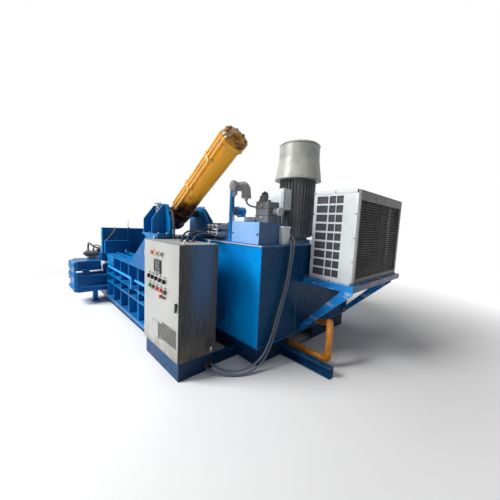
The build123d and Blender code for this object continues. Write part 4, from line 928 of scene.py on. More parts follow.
def door_details():
    """Bolted stops on the outlet door and caps on its hinge knuckles."""
    stops = hex_bolts(
        [(x, -0.971, z) for x in (-2.140, -1.770) for z in (0.300, 0.455, 0.640, 0.745)], 0.014, "-Y"
    )
    piece(stops, "outlet_door_bolts", "outlet_door", finishes["pin_steel"], "pin_steel")
    caps = [drum((-2.216, -0.952, z), 0.022, 0.014, sides=24, edge=0.004) for z in (0.596, 0.788)]
    piece(caps, "door_hinge_caps", "frame", finishes["pin_steel"], "pin_steel")


def chamber_valve_details():
    """Coil, hex plug and head of the valve on the chamber roof, its bolts, the nuts of its hoses, and the cover's knob.
    """
    coil = drum((-2.050, -0.510, 0.930), 0.048, 0.060, "Y", sides=32, edge=0.008)
    plug = drum((-2.050, -0.474, 0.930), 0.020, 0.018, "Y", sides=6, edge=0.002)
    head = block((-2.082, -0.545, 0.972), (-2.018, -0.480, 1.010), 0.007)
    piece([coil, plug, head], "chamber_valve_coil", "frame", finishes["knob_black"], "knob_black")
    bolts = hex_bolts([(x, y, 0.880) for x in (-2.095, -2.005) for y in (-0.685, -0.575)], 0.010, "+Z")
    piece(bolts, "chamber_valve_bolts", "frame", finishes["pin_steel"], "pin_steel")
    nuts = [*nut_at((-2.050, -0.690, 1.014), 0.022, "Z"), *nut_at((-2.050, -0.600, 1.014), 0.018, "Z")]
    nuts += [*nut_at((-1.740, -0.538, 1.060), 0.024, "Y"), *nut_at((-1.925, -0.470, 0.968), 0.018, "Z")]
    piece(nuts, "valve_hose_nuts", "frame", finishes["pin_steel"], "pin_steel")
    knob = drum((-1.620, -0.520, 0.800), 0.030, 0.040, "Y", sides=32, edge=0.012)
    stem = drum((-1.620, -0.480, 0.800), 0.0095, 0.046, "Y", sides=20, edge=0.002)
    piece([knob, stem], "cover_knob", "frame", finishes["box_enamel"], "cooler_white")


def lid_details():
    """Hex nuts of the lid's wear plate, its lifting eyes and the scraper bars along its sides."""
    spots = []
    for x in (-1.55, -1.31, -1.06, -0.40):
        for y in (-0.200, 0.0, 0.200):
            spots.append((x, y, 0.810))
    nuts = hex_bolts(spots, 0.016, "+Z")
    piece(nuts, "lid_plate_nuts", "lid", finishes["pin_steel"], "pin_steel")
    eyes = []
    for x in (-1.560, -0.180):
        for y in (-0.150, 0.150):
            eyes.append(ring((x, y, 1.005), 0.026, 0.008, "Y", sides=24))
            eyes.append(drum((x, y, 0.985), 0.020, 0.012, sides=20, edge=0.003))
    piece(eyes, "lid_lifting_eyes", "lid", finishes["painted_lit_blue"], "press_blue")
    pads = [
        block((-1.665, side * 0.284 - 0.006, 0.812), (-0.20, side * 0.284 + 0.006, 0.820), 0.002) for side in (-1, 1)
    ]
    beads = []
    for step in range(7):
        x = -1.672 + 0.244 * step
        for y in (-0.276, 0.276):
            beads.append(weld_run((x + 0.022, y * 0.98, 0.812), (x + 0.240, y * 0.98, 0.812), 0.005))
    piece([*pads, *beads], "lid_welds", "lid", finishes["weld_bead"], "press_blue")


TILT = math.radians(33.5)
DOWN = Vector((-math.cos(TILT), 0, -math.sin(TILT)))
ABOVE = Vector((-math.sin(TILT), 0, math.cos(TILT)))
TRUNNION = Vector((0.350, 0, 1.760))
BARREL_R = 0.126
BARREL_TOP = -1.350
BARREL_FOOT = 0.240
PIPE_R = 0.013
PIPE_RISE = 0.164
PIPE_TURNS = (-108, -90, -72)


def on_barrel(s, radius=0.0, degrees=0.0):
    """A point at s below the trunnion, at a radius round the cylinder's axis."""
    angle = math.radians(degrees)
    return TRUNNION + DOWN * s + (ABOVE * math.cos(angle) + Vector((0, 1, 0)) * math.sin(angle)) * radius


def barrel_length(s0, s1, radius, sides=128, edge=0.0):
    """A round length of the cylinder between two distances below the trunnion."""
    made = drum((0, 0, 0), radius, s1 - s0, sides=sides, edge=edge)
    made.matrix_world = Matrix.Translation(on_barrel((s0 + s1) / 2)) @ DOWN.to_track_quat("Z", "Y").to_matrix().to_4x4()
    return made


def slim_cylinder():
    """The lid cylinder as slim as it is in the photograph: barrel with collar and flanges, cap, three pipes."""
    tube = barrel_length(BARREL_TOP, BARREL_FOOT, BARREL_R)
    carve(tube, barrel_length(BARREL_TOP + 0.020, BARREL_FOOT - 0.050, 0.1254))
    carve(tube, barrel_length(BARREL_FOOT - 0.060, BARREL_FOOT + 0.010, 0.0628, 64))
    collar = barrel_length(-0.080, 0.080, BARREL_R + 0.022, edge=0.004)
    carve(collar, barrel_length(-0.090, 0.090, 0.1256))
    foot_ring = barrel_length(BARREL_FOOT - 0.040, BARREL_FOOT - 0.001, BARREL_R + 0.016, edge=0.003)
    carve(foot_ring, barrel_length(BARREL_FOOT - 0.050, BARREL_FOOT + 0.010, 0.1256))
    top_ring = barrel_length(BARREL_TOP + 0.001, BARREL_TOP + 0.050, BARREL_R + 0.016, edge=0.003)
    pins = [
        drum((0.350, side * 0.2295, 1.760), 0.060, 0.205, "Y", sides=64, edge=0.003) for side in (-1, 1)
    ]
    body = piece([tube, collar, foot_ring, top_ring, *pins], "slim_barrel", "lid_cylinder", finishes["cylinder_yellow"], "cylinder_yellow")
    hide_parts("lid_barrel")
    cap = barrel_length(BARREL_TOP - 0.050, BARREL_TOP, BARREL_R + 0.016, edge=0.004)
    boss = barrel_length(BARREL_TOP - 0.090, BARREL_TOP - 0.049, 0.045, 48, 0.003)
    model = drum((0, 0, 0.009), 0.016, 0.018, sides=6, edge=0.0015)
    turn = (-DOWN).to_track_quat("Z", "Y").to_matrix().to_4x4()
    heads = copies(
        model, [Matrix.Translation(on_barrel(BARREL_TOP - 0.050, 0.114, 45 * step + 22.5)) @ turn for step in range(8)]
    )
    head = piece([cap, boss, *heads], "bolted_cap", "lid_cylinder", cap_paint(), "cylinder_yellow")
    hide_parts("barrel_cap")
    runs = []
    for degrees in PIPE_TURNS:
        route = [
            on_barrel(BARREL_TOP - 0.025, 0.140, degrees), on_barrel(BARREL_TOP - 0.025, PIPE_RISE, degrees),
            on_barrel(-0.120, PIPE_RISE, degrees), on_barrel(-0.120, 0.125, degrees),
        ]
        runs += bent_pipe(route, PIPE_R, PIPE_R + 0.004)
    frame_turn = Matrix((
        (DOWN.x, 0, ABOVE.x, 0), (DOWN.y, 1, ABOVE.y, 0), (DOWN.z, 0, ABOVE.z, 0), (0, 0, 0, 1),
    ))
    for s in (-1.050, -0.560):
        clamp = block((-0.018, -0.181, -0.0677), (0.018, -0.1262, 0.0677), 0.003)
        clamp.matrix_world = Matrix.Translation(on_barrel(s)) @ frame_turn @ Matrix.Translation((0, -0.1536, 0))
        runs.append(clamp)
    pipes = piece(runs, "cylinder_pipes", "lid_cylinder", finishes["pipe_amber"], "cylinder_yellow")
    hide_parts("barrel_pipe")


def cylinder_details():
    """Gland bolts, bright rings, unions where the three pipes enter and the clamps' screws."""
    turn = DOWN.to_track_quat("Z", "Y").to_matrix().to_4x4()
    model = drum((0, 0, 0.007), 0.011, 0.014, sides=6, edge=0.001)
    bolts = copies(
        model, [Matrix.Translation(on_barrel(BARREL_FOOT, 0.112, 45 * step + 22.5)) @ turn for step in range(8)]
    )
    rings = []
    for s, radius in ((BARREL_FOOT - 0.004, 0.066), (BARREL_TOP + 0.050, 0.1425), (0.2, 0.1425)):
        hoop = ring((0, 0, 0), radius, 0.004, "Z", sides=48)
        hoop.matrix_world = Matrix.Translation(on_barrel(s)) @ turn
        rings.append(hoop)
    piece([*bolts, *rings], "gland_bolts", "lid_cylinder", finishes["pin_steel"], "pin_steel")
    unions = []
    for degrees in PIPE_TURNS:
        out = on_barrel(0, 1, degrees) - on_barrel(0)
        facing = out.to_track_quat("Z", "Y").to_matrix().to_4x4()
        for s, radius in ((BARREL_TOP - 0.025, 0.150), (-0.120, 0.134)):
            nut = drum((0, 0, 0), 0.020, 0.022, sides=6, edge=0.002)
            nut.matrix_world = Matrix.Translation(on_barrel(s, radius, degrees)) @ facing
            unions.append(nut)
    screws = []
    for s in (-1.050, -0.560):
        for across in (-0.026, 0.026):
            screws.append(Matrix.Translation(on_barrel(s, 0.181, -90) + ABOVE * across) @ TURN_TO["-Y"])
    screw = drum((0, 0, 0.005), 0.008, 0.010, sides=6, edge=0.001)
    piece([*unions, *copies(screw, screws)], "barrel_pipe_unions", "lid_cylinder", finishes["pin_steel"], "pin_steel")


# Cabinet: seals, lamps, meter, knob marks, vents and lock
DOOR_Y = -0.583
LAMP_SPOTS = (("red_lamp", 0.833), ("yellow_lamp", 0.945), ("white_lamp", 1.057))


def cabinet_seal():
    """The black rubber strip that the door shuts on, just proud of the shell's edges."""
    low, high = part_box("cabinet_shell")
    y0, y1 = low.y - 0.0, low.y + 0.008
    left, right, foot, top = 0.570, 1.443, 0.200, 1.401
    bars = [
        block((left - 0.0012, y0, foot), (left + 0.010, y1, top + 0.0012), 0.001),
        block((right - 0.010, y0, foot), (right + 0.0012, y1, top + 0.0012), 0.001),
        block((left + 0.010, y0, top - 0.010), (right - 0.010, y1, top + 0.0012), 0.001),
        block((left + 0.010, y0, foot), (right - 0.010, y1, foot + 0.010), 0.001),
    ]
    piece(bars, "cabinet_seal", "frame", finishes["knob_black"], "knob_black")


def door_lamps():
    """A ribbed lens in a steel bezel for each lamp."""
    for name, x in LAMP_SPOTS:
        skirt = drum((x, -0.6005, 1.272), 0.0215, 0.017, "Y", sides=40, edge=0.002)
        dome = drum((x, -0.6135, 1.272), 0.0205, 0.010, "Y", sides=40, edge=0.005)
        piece([skirt, dome], name + "_lens", "cabinet_door", finishes[name], "instrument")
    bezels = [ring((x, -0.5915, 1.272), 0.0245, 0.0038, "Y", sides=40) for _, x in LAMP_SPOTS]
    piece(bezels, "lamp_bezels", "cabinet_door", finishes["bezel_steel"], "instrument")


def seven_segments(left, foot, height, number):
    """One figure of a meter's display from its lit bars, upright on the door."""
    lit = {
        0: "abcdef", 1: "bc", 2: "abged", 3: "abgcd", 4: "fgbc",
        5: "afgcd", 6: "afgedc", 7: "abc", 8: "abcdefg", 9: "abcdfg",
    }[number]
    wide, bar = 0.55 * height, 0.10 * height
    half = height / 2
    spans = {
        "a": ((0, height - bar), (wide, height)),
        "b": ((wide - bar, half), (wide, height)),
        "c": ((wide - bar, 0), (wide, half)),
        "d": ((0, 0), (wide, bar)),
        "e": ((0, 0), (bar, half)),
        "f": ((0, half), (bar, height)),
        "g": ((0, half - bar / 2), (wide, half + bar / 2)),
    }
    return [
        block(
            (left + spans[part][0][0] + 0.0006, -0.5962, foot + spans[part][0][1] + 0.0004),
            (left + spans[part][1][0] - 0.0006, -0.5950, foot + spans[part][1][1] - 0.0004),
            0.0003,
            1,
        )
        for part in lit
    ]


def door_meter():
    """The power meter: a raised bezel, a dark window with three rows of figures, four keys."""
    bezel = block((0.878, -0.5975, 1.052), (1.043, -0.5925, 1.198), 0.002)
    activate(bezel)
    window = block((0.889, -0.600, 1.080), (1.032, -0.5945, 1.188), 0.0)
    carve(bezel, window)
    piece([bezel], "meter_bezel", "cabinet_door", finishes["knob_black"], "instrument")
    glass = block((0.888, -0.5949, 1.079), (1.033, -0.5935, 1.189), 0.0008)
    piece([glass], "meter_window", "cabinet_door", finishes["meter_glass"], "instrument")
    figures = []
    for row, numbers in enumerate(((3, 8, 1, 0), (3, 7, 9, 4), (0, 4, 2, 6))):
        for step, number in enumerate(numbers):
            figures += seven_segments(0.908 + 0.029 * step, 1.158 - 0.034 * row, 0.024, number)
    piece(figures, "meter_figures", "cabinet_door", finishes["lit_figure"], "instrument")
    keys = [block((0.896 + 0.036 * step, -0.6000, 1.060), (0.918 + 0.036 * step, -0.5970, 1.072), 0.0012) for step in range(4)]
    piece(keys, "meter_keys", "cabinet_door", finishes["switch_grey"], "instrument")


def knob_details():
    """White pointers and turned bezels for the selectors, chromed collars for the buttons, name plates left bare."""
    for step in range(5):
        x = 0.738 + 0.100 * step
        pointer = block((x - 0.0016, -0.6163, 0.990), (x + 0.0016, -0.6148, 1.008), 0.0004)
        piece([pointer], "selector_%d_pointer" % (step + 1), "selector_%d" % (step + 1), finishes["box_enamel"], "knob_black")
    collars = [ring((0.738 + 0.100 * step, -0.5855, 0.987), 0.0265, 0.0032, "Y", sides=40) for step in range(5)]
    collars += [ring((0.754 + 0.100 * step, -0.5855, 0.877), 0.0290, 0.0024, "Y", sides=40) for step in range(5)]
    piece(collars, "knob_collars", "cabinet_door", finishes["bezel_steel"], "instrument")
    plates = []
    for step in range(5):
        x = 0.738 + 0.100 * step
        plates.append(block((x - 0.022, -0.5842, 1.021), (x + 0.022, -0.5828, 1.035), 0.0006))
        x = 0.754 + 0.100 * step
        plates.append(block((x - 0.022, -0.5842, 0.911), (x + 0.022, -0.5828, 0.925), 0.0006))
    piece(plates, "bare_name_plates", "cabinet_door", finishes["plate_black"], "instrument")
    stop = drum((1.060, -0.592, 0.812), 0.016, 0.018, "Y", sides=32, edge=0.003)
    mushroom = drum((1.060, -0.606, 0.812), 0.023, 0.013, "Y", sides=32, edge=0.005)
    piece([stop, mushroom], "stop_button", "cabinet_door", finishes["button_red"], "button_red")
    keys = []
    for x in (1.110, 1.150):
        keys.append(drum((x, -0.590, 0.812), 0.012, 0.014, "Y", sides=28, edge=0.003))
    piece(keys, "reset_keys", "cabinet_door", finishes["knob_black"], "knob_black")


def slanted_slat(middle, length, depth, thick, degrees):
    """One pressed slat lying along X, turned about its own length."""
    slat = block((-length / 2, -depth / 2, -thick / 2), (length / 2, depth / 2, thick / 2), thick * 0.3, 1)
    slat.matrix_world = Matrix.Translation(middle) @ Matrix.Rotation(math.radians(degrees), 4, "X")
    return slat


def door_vents():
    """Slats in the filter's frame, a gauze strip in the narrow vent, pressed hoods on the outlet."""
    slats = [slanted_slat((0.900, -0.5885, 0.325 + 0.0135 * step), 0.154, 0.010, 0.0022, 38) for step in range(13)]
    mat = block((0.823, -0.5868, 0.315), (0.977, -0.5858, 0.495), 0.0004)
    piece(slats, "filter_slats", "cabinet_door", finishes["switch_grey"], "stainless")
    piece([mat], "filter_mat", "cabinet_door", finishes["woven_screen"], "instrument")
    gauze = block((1.011, -0.5885, 0.332), (1.067, -0.5868, 0.499), 0.001)
    bars = [block((1.008, -0.5905, 0.345 + 0.022 * step), (1.070, -0.5880, 0.350 + 0.022 * step), 0.001) for step in range(7)]
    piece([gauze], "vent_gauze", "cabinet_door", finishes["woven_screen"], "instrument")
    piece(bars, "vent_bars", "cabinet_door", finishes["bezel_steel"], "stainless")
    hoods = [slanted_slat((1.2425, -0.5885, 0.3535 + 0.024 * step), 0.312, 0.013, 0.0022, -42) for step in range(8)]
    ends = []
    for step in range(8):
        for x in (1.0865, 1.3985):
            ends.append(block((x - 0.0012, -0.5925, 0.347 + 0.024 * step), (x + 0.0012, -0.5828, 0.359 + 0.024 * step), 0.0005))
    piece([*hoods, *ends], "vent_hoods", "cabinet_door", finishes["stainless_dull"], "stainless")


def cabinet_fittings():
    """Side gland plate, cable glands on the plinth, eye nuts on the roof and the lock's escutcheon."""
    plate = block((1.4425, -0.198, 0.206), (1.4450, -0.172, 0.268), 0.001)
    piece([plate], "side_plate_small", "frame", finishes["bezel_steel"], "stainless")
    glands = []
    for y in (-0.185, -0.240):
        glands.append(drum((1.424, y, 0.076), 0.026, 0.020, "X", sides=6, edge=0.002))
        glands.append(drum((1.443, y, 0.076), 0.020, 0.024, "X", sides=32, edge=0.004))
    piece(glands, "plinth_glands", "frame", finishes["knob_black"], "knob_black")
    eyes = []
    for x in (0.640, 1.373):
        for y in (-0.500, -0.205):
            eyes.append(drum((x, y, 1.405), 0.018, 0.009, sides=24, edge=0.002))
            eyes.append(ring((x, y, 1.424), 0.015, 0.005, "Y", sides=24))
    piece(eyes, "roof_eye_nuts", "frame", finishes["bezel_steel"], "stainless")
    shield = block((1.383, -0.5845, 0.722), (1.427, -0.5828, 0.838), 0.0008)
    pin = drum((1.405, -0.5870, 0.742), 0.007, 0.008, "Y", sides=20, edge=0.001)
    piece([shield, pin], "lock_shield", "cabinet_door", finishes["bezel_steel"], "stainless")
    plate = block((0.980, -0.375, 1.4005), (1.190, -0.215, 1.4060), 0.002)
    piece([plate], "roof_cable_plate", "frame", finishes["bezel_steel"], "stainless")
    nuts = []
    for route in (ROW_CABLE_1, ROW_CABLE_2, ROW_CABLE_3, PEDESTAL_HOSE[::-1]):
        x, y, z = route[0]
        nuts.append(drum((x, y, z + 0.008), 0.022, 0.016, sides=6, edge=0.002))
        nuts.append(drum((x, y, z + 0.020), 0.017, 0.014, sides=28, edge=0.004))
    piece(nuts, "roof_cable_glands", "frame", finishes["knob_black"], "knob_black")


def switchgear_wiring():
    """Wiring ducts and a row of terminals between the rows of switchgear."""
    ducts = [
        block((0.655, -0.196, z - 0.022), (1.355, -0.158, z + 0.022), 0.003) for z in (1.275, 1.080, 0.845, 0.610)
    ]
    ducts.append(block((0.636, -0.196, 0.500), (0.662, -0.158, 1.300), 0.003))
    piece(ducts, "wiring_ducts", "frame", finishes["switch_grey"], "switch_grey")
    terminals = [
        block((0.930 + 0.013 * step, -0.215, 0.380), (0.941 + 0.013 * step, -0.160, 0.440), 0.002) for step in range(30)
    ]
    piece(terminals, "terminal_row", "frame", finishes["terminal_green"], "switch_grey")


# Power pack: motor, stand, valves, bend and tank
def motor_details():
    """Raised lid, screws and glands of the terminal box, the cowl's band and studs, foot bolts and eye bolts."""
    lid = block((1.114, 0.953, 1.854), (1.406, 0.971, 2.136), 0.010, 3)
    panel = block((1.140, 0.946, 1.880), (1.380, 0.955, 2.110), 0.008, 3)
    piece([lid, panel], "terminal_lid", "frame", finishes["box_enamel"], "motor_grey")
    screws = hex_bolts([(x, 0.953, z) for x in (1.127, 1.393) for z in (1.867, 2.123)], 0.007, "-Y")
    glands = []
    for x in (1.190, 1.330):
        glands.append(drum((x, 1.046, 1.838), 0.027, 0.018, sides=6, edge=0.002))
        glands.append(drum((x, 1.046, 1.822), 0.021, 0.018, sides=28, edge=0.003))
    piece([*screws, *glands], "terminal_box_fittings", "frame", finishes["pin_steel"], "motor_grey")
    bolts = []
    for step in range(8):
        angle = 2 * math.pi * (step + 0.5) / 8
        bolts.append((1.300 + 0.215 * math.cos(angle), 1.390 + 0.215 * math.sin(angle), 1.432))
    piece(hex_bolts(bolts, 0.016, "+Z"), "motor_foot_bolts", "frame", finishes["pin_steel"], "pin_steel")
    band = ring((1.300, 1.390, 2.302), 0.3335, 0.005, "Z", sides=96)
    crown = ring((1.300, 1.390, 2.790), 0.2915, 0.006, "Z", sides=96)
    piece([band, crown], "cowl_bands", "frame", finishes["cowl_dark"], "motor_grey")
    studs = []
    for step in range(4):
        angle = math.pi / 4 + math.pi / 2 * step
        out = Vector((math.cos(angle), math.sin(angle), 0))
        place = Vector((1.300, 1.390, 2.330)) + out * 0.3325
        stud = drum((0, 0, 0.006), 0.010, 0.012, sides=6, edge=0.001)
        stud.matrix_world = Matrix.Translation(place) @ out.to_track_quat("Z", "Y").to_matrix().to_4x4()
        studs.append(stud)
    piece(studs, "cowl_studs", "frame", finishes["pin_steel"], "pin_steel")
    wires = []
    for radius in (0.040, 0.075, 0.110, 0.145, 0.180, 0.215, 0.250):
        wires.append(ring((1.300, 1.390, 2.8155), radius, 0.0026, "Z", sides=64))
    for step in range(12):
        angle = 2 * math.pi * step / 12
        spoke = drum((0, 0, 0), 0.0026, 0.230, "X", sides=8)
        spoke.matrix_world = (
            Matrix.Translation((1.300, 1.390, 2.8155)) @ Matrix.Rotation(angle, 4, "Z") @ Matrix.Translation((0.145, 0, 0))
            @ Matrix.Rotation(math.pi / 2, 4, "Y")
        )
        wires.append(spoke)
    piece(wires, "cowl_guard", "frame", finishes["cowl_dark"], "motor_grey")
    plate = block((1.190, 1.1215, 1.560), (1.290, 1.1245, 1.640), 0.001)
    piece([plate], "motor_bare_plate", "frame", finishes["bezel_steel"], "motor_grey")
    eyes = [ring((1.300, 1.390 + side * 0.262, 2.372), 0.026, 0.009, "X", sides=28) for side in (-1, 1)]
    piece(eyes, "motor_lifting_eyes", "frame", finishes["cowl_dark"], "motor_grey")


def stand_details():
    """Panel screws on the valve stand, the junction box behind it and the light plate beside the valve."""
    screws = []
    for x in (1.232, 1.660):
        screws.append(drum((x, 0.2325, 1.520), 0.013, 0.007, "Y", sides=24, edge=0.002))
    piece(screws, "stand_screws", "frame", finishes["knob_black"], "knob_black")
    box = block((1.610, 0.580, 1.402), (1.735, 0.720, 1.612), 0.010, 3)
    rim = block((1.604, 0.574, 1.600), (1.741, 0.726, 1.626), 0.008, 3)
    piece([box, rim], "junction_box", "frame", finishes["box_enamel"], "cooler_white")
    plate = block((1.222, 0.262, 1.658), (1.398, 0.460, 1.698), 0.004)
    ledge = block((1.240, 0.290, 1.698), (1.370, 0.440, 1.712), 0.003)
    piece([plate, ledge], "valve_base_plate", "frame", finishes["box_enamel"], "cooler_white")
    edge = [
        weld_run((1.210, 0.2345, 1.406), (1.680, 0.2345, 1.406), 0.006),
        weld_run((1.6805, 0.235, 1.406), (1.6805, 0.700, 1.406), 0.006),
        weld_run((1.2095, 0.235, 1.406), (1.2095, 0.700, 1.406), 0.006),
    ]
    piece(edge, "stand_welds", "frame", finishes["weld_bead"], "press_blue")


def valve_details():
    """Sandwich plates, coils with plugs, cap screws and port unions of the main valve."""
    coil = drum((1.450, 0.540, 2.012), 0.040, 0.026, sides=36, edge=0.006)
    nut = drum((1.450, 0.540, 2.030), 0.018, 0.018, sides=6, edge=0.002)
    plug = block((1.395, 0.505, 1.945), (1.428, 0.575, 1.985), 0.006)
    piece([coil, nut, plug], "valve_coil", "frame", finishes["knob_black"], "knob_black")
    seams = [
        block((1.396, 0.436, z - 0.004), (1.614, 0.644, z + 0.004), 0.0015) for z in (1.742, 1.826)
    ]
    piece(seams, "valve_sandwich", "frame", finishes["cowl_dark"], "valve_grey")
    caps = hex_bolts([(x, y, 1.905) for x in (1.420, 1.590) for y in (0.455, 0.622)], 0.011, "+Z")
    caps += hex_bolts([(x, 0.440, z) for x in (1.425, 1.585) for z in (1.690, 1.775, 1.875)], 0.010, "-Y")
    caps += hex_bolts([(1.505, 0.440, 1.715), (1.505, 0.440, 1.855)], 0.018, "-Y")
    piece(caps, "valve_screws", "frame", finishes["pin_steel"], "valve_grey")
    unions = [*nut_at((1.376, 0.500, 1.850), 0.026, "X"), *nut_at((1.376, 0.500, 1.715), 0.026, "X")]
    unions += [*nut_at((1.275, 0.390, 1.944), 0.026, "Z"), *nut_at((1.032, 0.390, 1.998), 0.024, "Z")]
    piece(unions, "hose_unions", "frame", finishes["pin_steel"], "pin_steel")
    wheel = drum((1.709, 0.540, 1.790), 0.050, 0.022, "X", sides=40, edge=0.006)
    hub = drum((1.722, 0.540, 1.790), 0.020, 0.020, "X", sides=24, edge=0.003)
    piece([wheel, hub], "valve_hand_knob", "frame", finishes["switch_grey"], "valve_grey")


def valve_row_details():
    """Coils, handles and cap screws of the stacked valve rows, which reach over the tank's front edge."""
    coils, plugs, levers, screws = [], [], [], []
    for row in (0, 1):
        z = 1.487 + 0.092 * row
        for step in range(3):
            x = 0.704 + 0.090 * step
            coils.append(drum((x, 0.272, z), 0.033, 0.100, "Y", sides=32, edge=0.008))
            coils.append(block((x - 0.030, 0.318, z - 0.032), (x + 0.030, 0.392, z + 0.032), 0.005))
            plugs.append(block((x - 0.018, 0.236, z + 0.026), (x + 0.018, 0.300, z + 0.048), 0.004))
            plugs.append(drum((x, 0.214, z), 0.013, 0.020, "Y", sides=20, edge=0.003))
            screws += hex_bolts([(x - 0.026, 0.390, z + 0.026), (x + 0.026, 0.390, z - 0.026)], 0.006, "-Y")
    for step in range(3):
        x = 0.704 + 0.090 * step
        levers.append(drum((x, 0.600, 1.700), 0.009, 0.120, sides=20, edge=0.002))
        levers.append(drum((x, 0.600, 1.765), 0.019, 0.034, sides=24, edge=0.012))
        levers.append(block((x - 0.020, 0.575, 1.626), (x + 0.020, 0.620, 1.652), 0.004))
    piece(coils, "row_coils", "frame", finishes["row_grey"], "valve_grey")
    piece(plugs, "row_plugs", "frame", finishes["knob_black"], "knob_black")
    piece(levers, "row_levers", "frame", finishes["pin_steel"], "pin_steel")
    piece(screws, "row_screws", "frame", finishes["pin_steel"], "valve_grey")


BEND_X = 1.130
BEND_Z = 2.100


def fat_elbow():
    """The return line's upright pipe, fat elbow with a blanked face, and its drop sleeve, for the CAD's thinner one."""
    turn = bent_pipe(
        [(BEND_X, 0.300, BEND_Z), (BEND_X, 0.390, BEND_Z), (1.262, 0.390, BEND_Z), (1.275, 0.390, 1.985)], 0.058, 0.070, 40
    )
    face = drum((BEND_X, 0.298, BEND_Z), 0.070, 0.024, "Y", sides=48, edge=0.005)
    sleeve = drum((1.275, 0.390, 1.972), 0.062, 0.044, sides=48, edge=0.006)
    drop = drum((1.070, 0.390, 2.045), 0.022, 0.090, sides=32, edge=0.004)
    foot = drum((1.032, 0.390, 2.014), 0.022, 0.032, sides=32, edge=0.004)
    link = straight_bar(Vector((1.032, 0.390, 2.022)), Vector((1.070, 0.390, 2.070)), 0.018)
    elbow = piece([*turn, face, sleeve, drop, foot, link], "fat_elbow", "frame", finishes["pipe_grey"], "pipe_grey")
    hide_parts("return_bend")
    upright = bent_pipe([(0.990, 0.390, 1.402), (0.990, 0.390, BEND_Z), (1.080, 0.390, BEND_Z)], 0.026, 0.055, 32)
    flange = drum((0.990, 0.390, 1.409), 0.048, 0.014, sides=40, edge=0.003)
    piece([*upright, flange], "return_upright", "frame", finishes["painted_lit_blue"], "pipe_grey")


def return_bend_details():
    """The elbow's blank with its bolts; the filter bowl beside the upright pipe, on its bracket."""
    face = drum((BEND_X, 0.283, BEND_Z), 0.052, 0.008, "Y", sides=40, edge=0.002)
    hub = drum((BEND_X, 0.276, BEND_Z), 0.020, 0.012, "Y", sides=6, edge=0.002)
    bolts = []
    for step in range(6):
        angle = 2 * math.pi * step / 6
        bolts.append((BEND_X + 0.060 * math.cos(angle), 0.286, BEND_Z + 0.060 * math.sin(angle)))
    piece([face, hub, *hex_bolts(bolts, 0.006, "-Y")], "bend_flange_bolts", "frame", finishes["row_grey"], "pipe_grey")
    disc = drum((0.950, 0.499, 1.806), 0.050, 0.008, "Y", sides=40, edge=0.002)
    tip = drum((0.950, 0.492, 1.806), 0.018, 0.012, "Y", sides=24, edge=0.004)
    piece([disc, tip], "bowl_face", "frame", finishes["knob_black"], "knob_black")
    bowl = drum((0.950, 0.590, 1.806), 0.0575, 0.120, "Y", sides=48, edge=0.006)
    band = ring((0.950, 0.530, 1.806), 0.060, 0.006, "Y", sides=48)
    rim = drum((0.950, 0.515, 1.806), 0.060, 0.034, "Y", sides=48, edge=0.003)
    bracket = block((0.980, 0.560, 1.400), (1.004, 0.640, 1.790), 0.004)
    sole = block((0.950, 0.550, 1.400), (1.040, 0.660, 1.412), 0.003)
    piece([bowl, band, rim, bracket, sole], "filter_bowl", "frame", finishes["painted_lit_blue"], "pipe_grey")


def tank_details():
    """Cover bolts, breather, filler neck, level gauge and drain of the oil tank."""
    spots = [(x, y, 1.402) for y in (0.232, 2.378) for x in (0.620, 0.860, 1.100)]
    spots += [(x, y, 1.402) for x in (0.578, 1.738) for y in (0.480, 0.760, 1.040, 1.320, 1.600, 1.880, 2.160)]
    piece(hex_bolts(spots, 0.010, "+Z"), "tank_cover_bolts", "frame", finishes["pin_steel"], "pin_steel")
    neck = drum((0.900, 2.050, 1.430), 0.055, 0.056, sides=40, edge=0.004)
    cap = drum((0.900, 2.050, 1.474), 0.066, 0.034, sides=12, edge=0.006)
    mesh = drum((1.350, 2.050, 1.436), 0.030, 0.070, sides=32, edge=0.004)
    dome = drum((1.350, 2.050, 1.490), 0.052, 0.044, sides=32, edge=0.012)
    piece([neck, cap, mesh, dome], "filler_and_breather", "frame", finishes["knob_black"], "knob_black")
    body = block((0.554, 2.000, 0.820), (0.566, 2.046, 1.060), 0.004)
    glass = block((0.549, 2.012, 0.850), (0.556, 2.034, 1.030), 0.003)
    piece([body], "level_gauge", "frame", finishes["bezel_steel"], "pin_steel")
    piece([glass], "level_glass", "frame", finishes["gauge_glass"], "instrument")
    drain = drum((1.762, 2.250, 0.300), 0.032, 0.024, "X", sides=6, edge=0.003)
    stub = drum((1.780, 2.250, 0.300), 0.016, 0.020, "X", sides=24, edge=0.002)
    piece([drain, stub], "tank_drain", "frame", finishes["pin_steel"], "pin_steel")
    seams = [
        weld_run((0.566, 0.2195, 0.232), (1.750, 0.2195, 0.232), 0.006),
        weld_run((1.7505, 0.220, 0.232), (1.7505, 2.390, 0.232), 0.006),
        weld_run((1.7495, 0.2205, 0.232), (1.7495, 0.2205, 1.386), 0.005),
        weld_run((0.5655, 0.220, 0.232), (0.5655, 2.390, 0.232), 0.006),
        weld_run((0.566, 2.3905, 0.232), (1.750, 2.3905, 0.232), 0.006),
    ]
    piece(seams, "tank_welds", "frame", finishes["weld_bead"], "press_blue")


def suction_run():
    """The orange pipe as low on the tank's wall as in the photograph, where the strut hides its end."""
    route = [
        (1.640, 0.900, 0.092), (2.255, 0.900, 0.092), (2.255, 0.900, 0.420), (2.200, 0.990, 0.505),
        (2.100, 1.150, 0.440), (1.930, 1.300, 0.350), (1.750, 1.300, 0.350),
    ]
    run = bent_pipe(route, 0.040, 0.060, 40)
    flange = drum((1.757, 1.300, 0.350), 0.062, 0.014, "X", sides=48, edge=0.003)
    pipe = piece([*run, flange], "suction_run", "frame", finishes["pipe_orange"], "pipe_orange")
    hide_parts("suction_pipe")


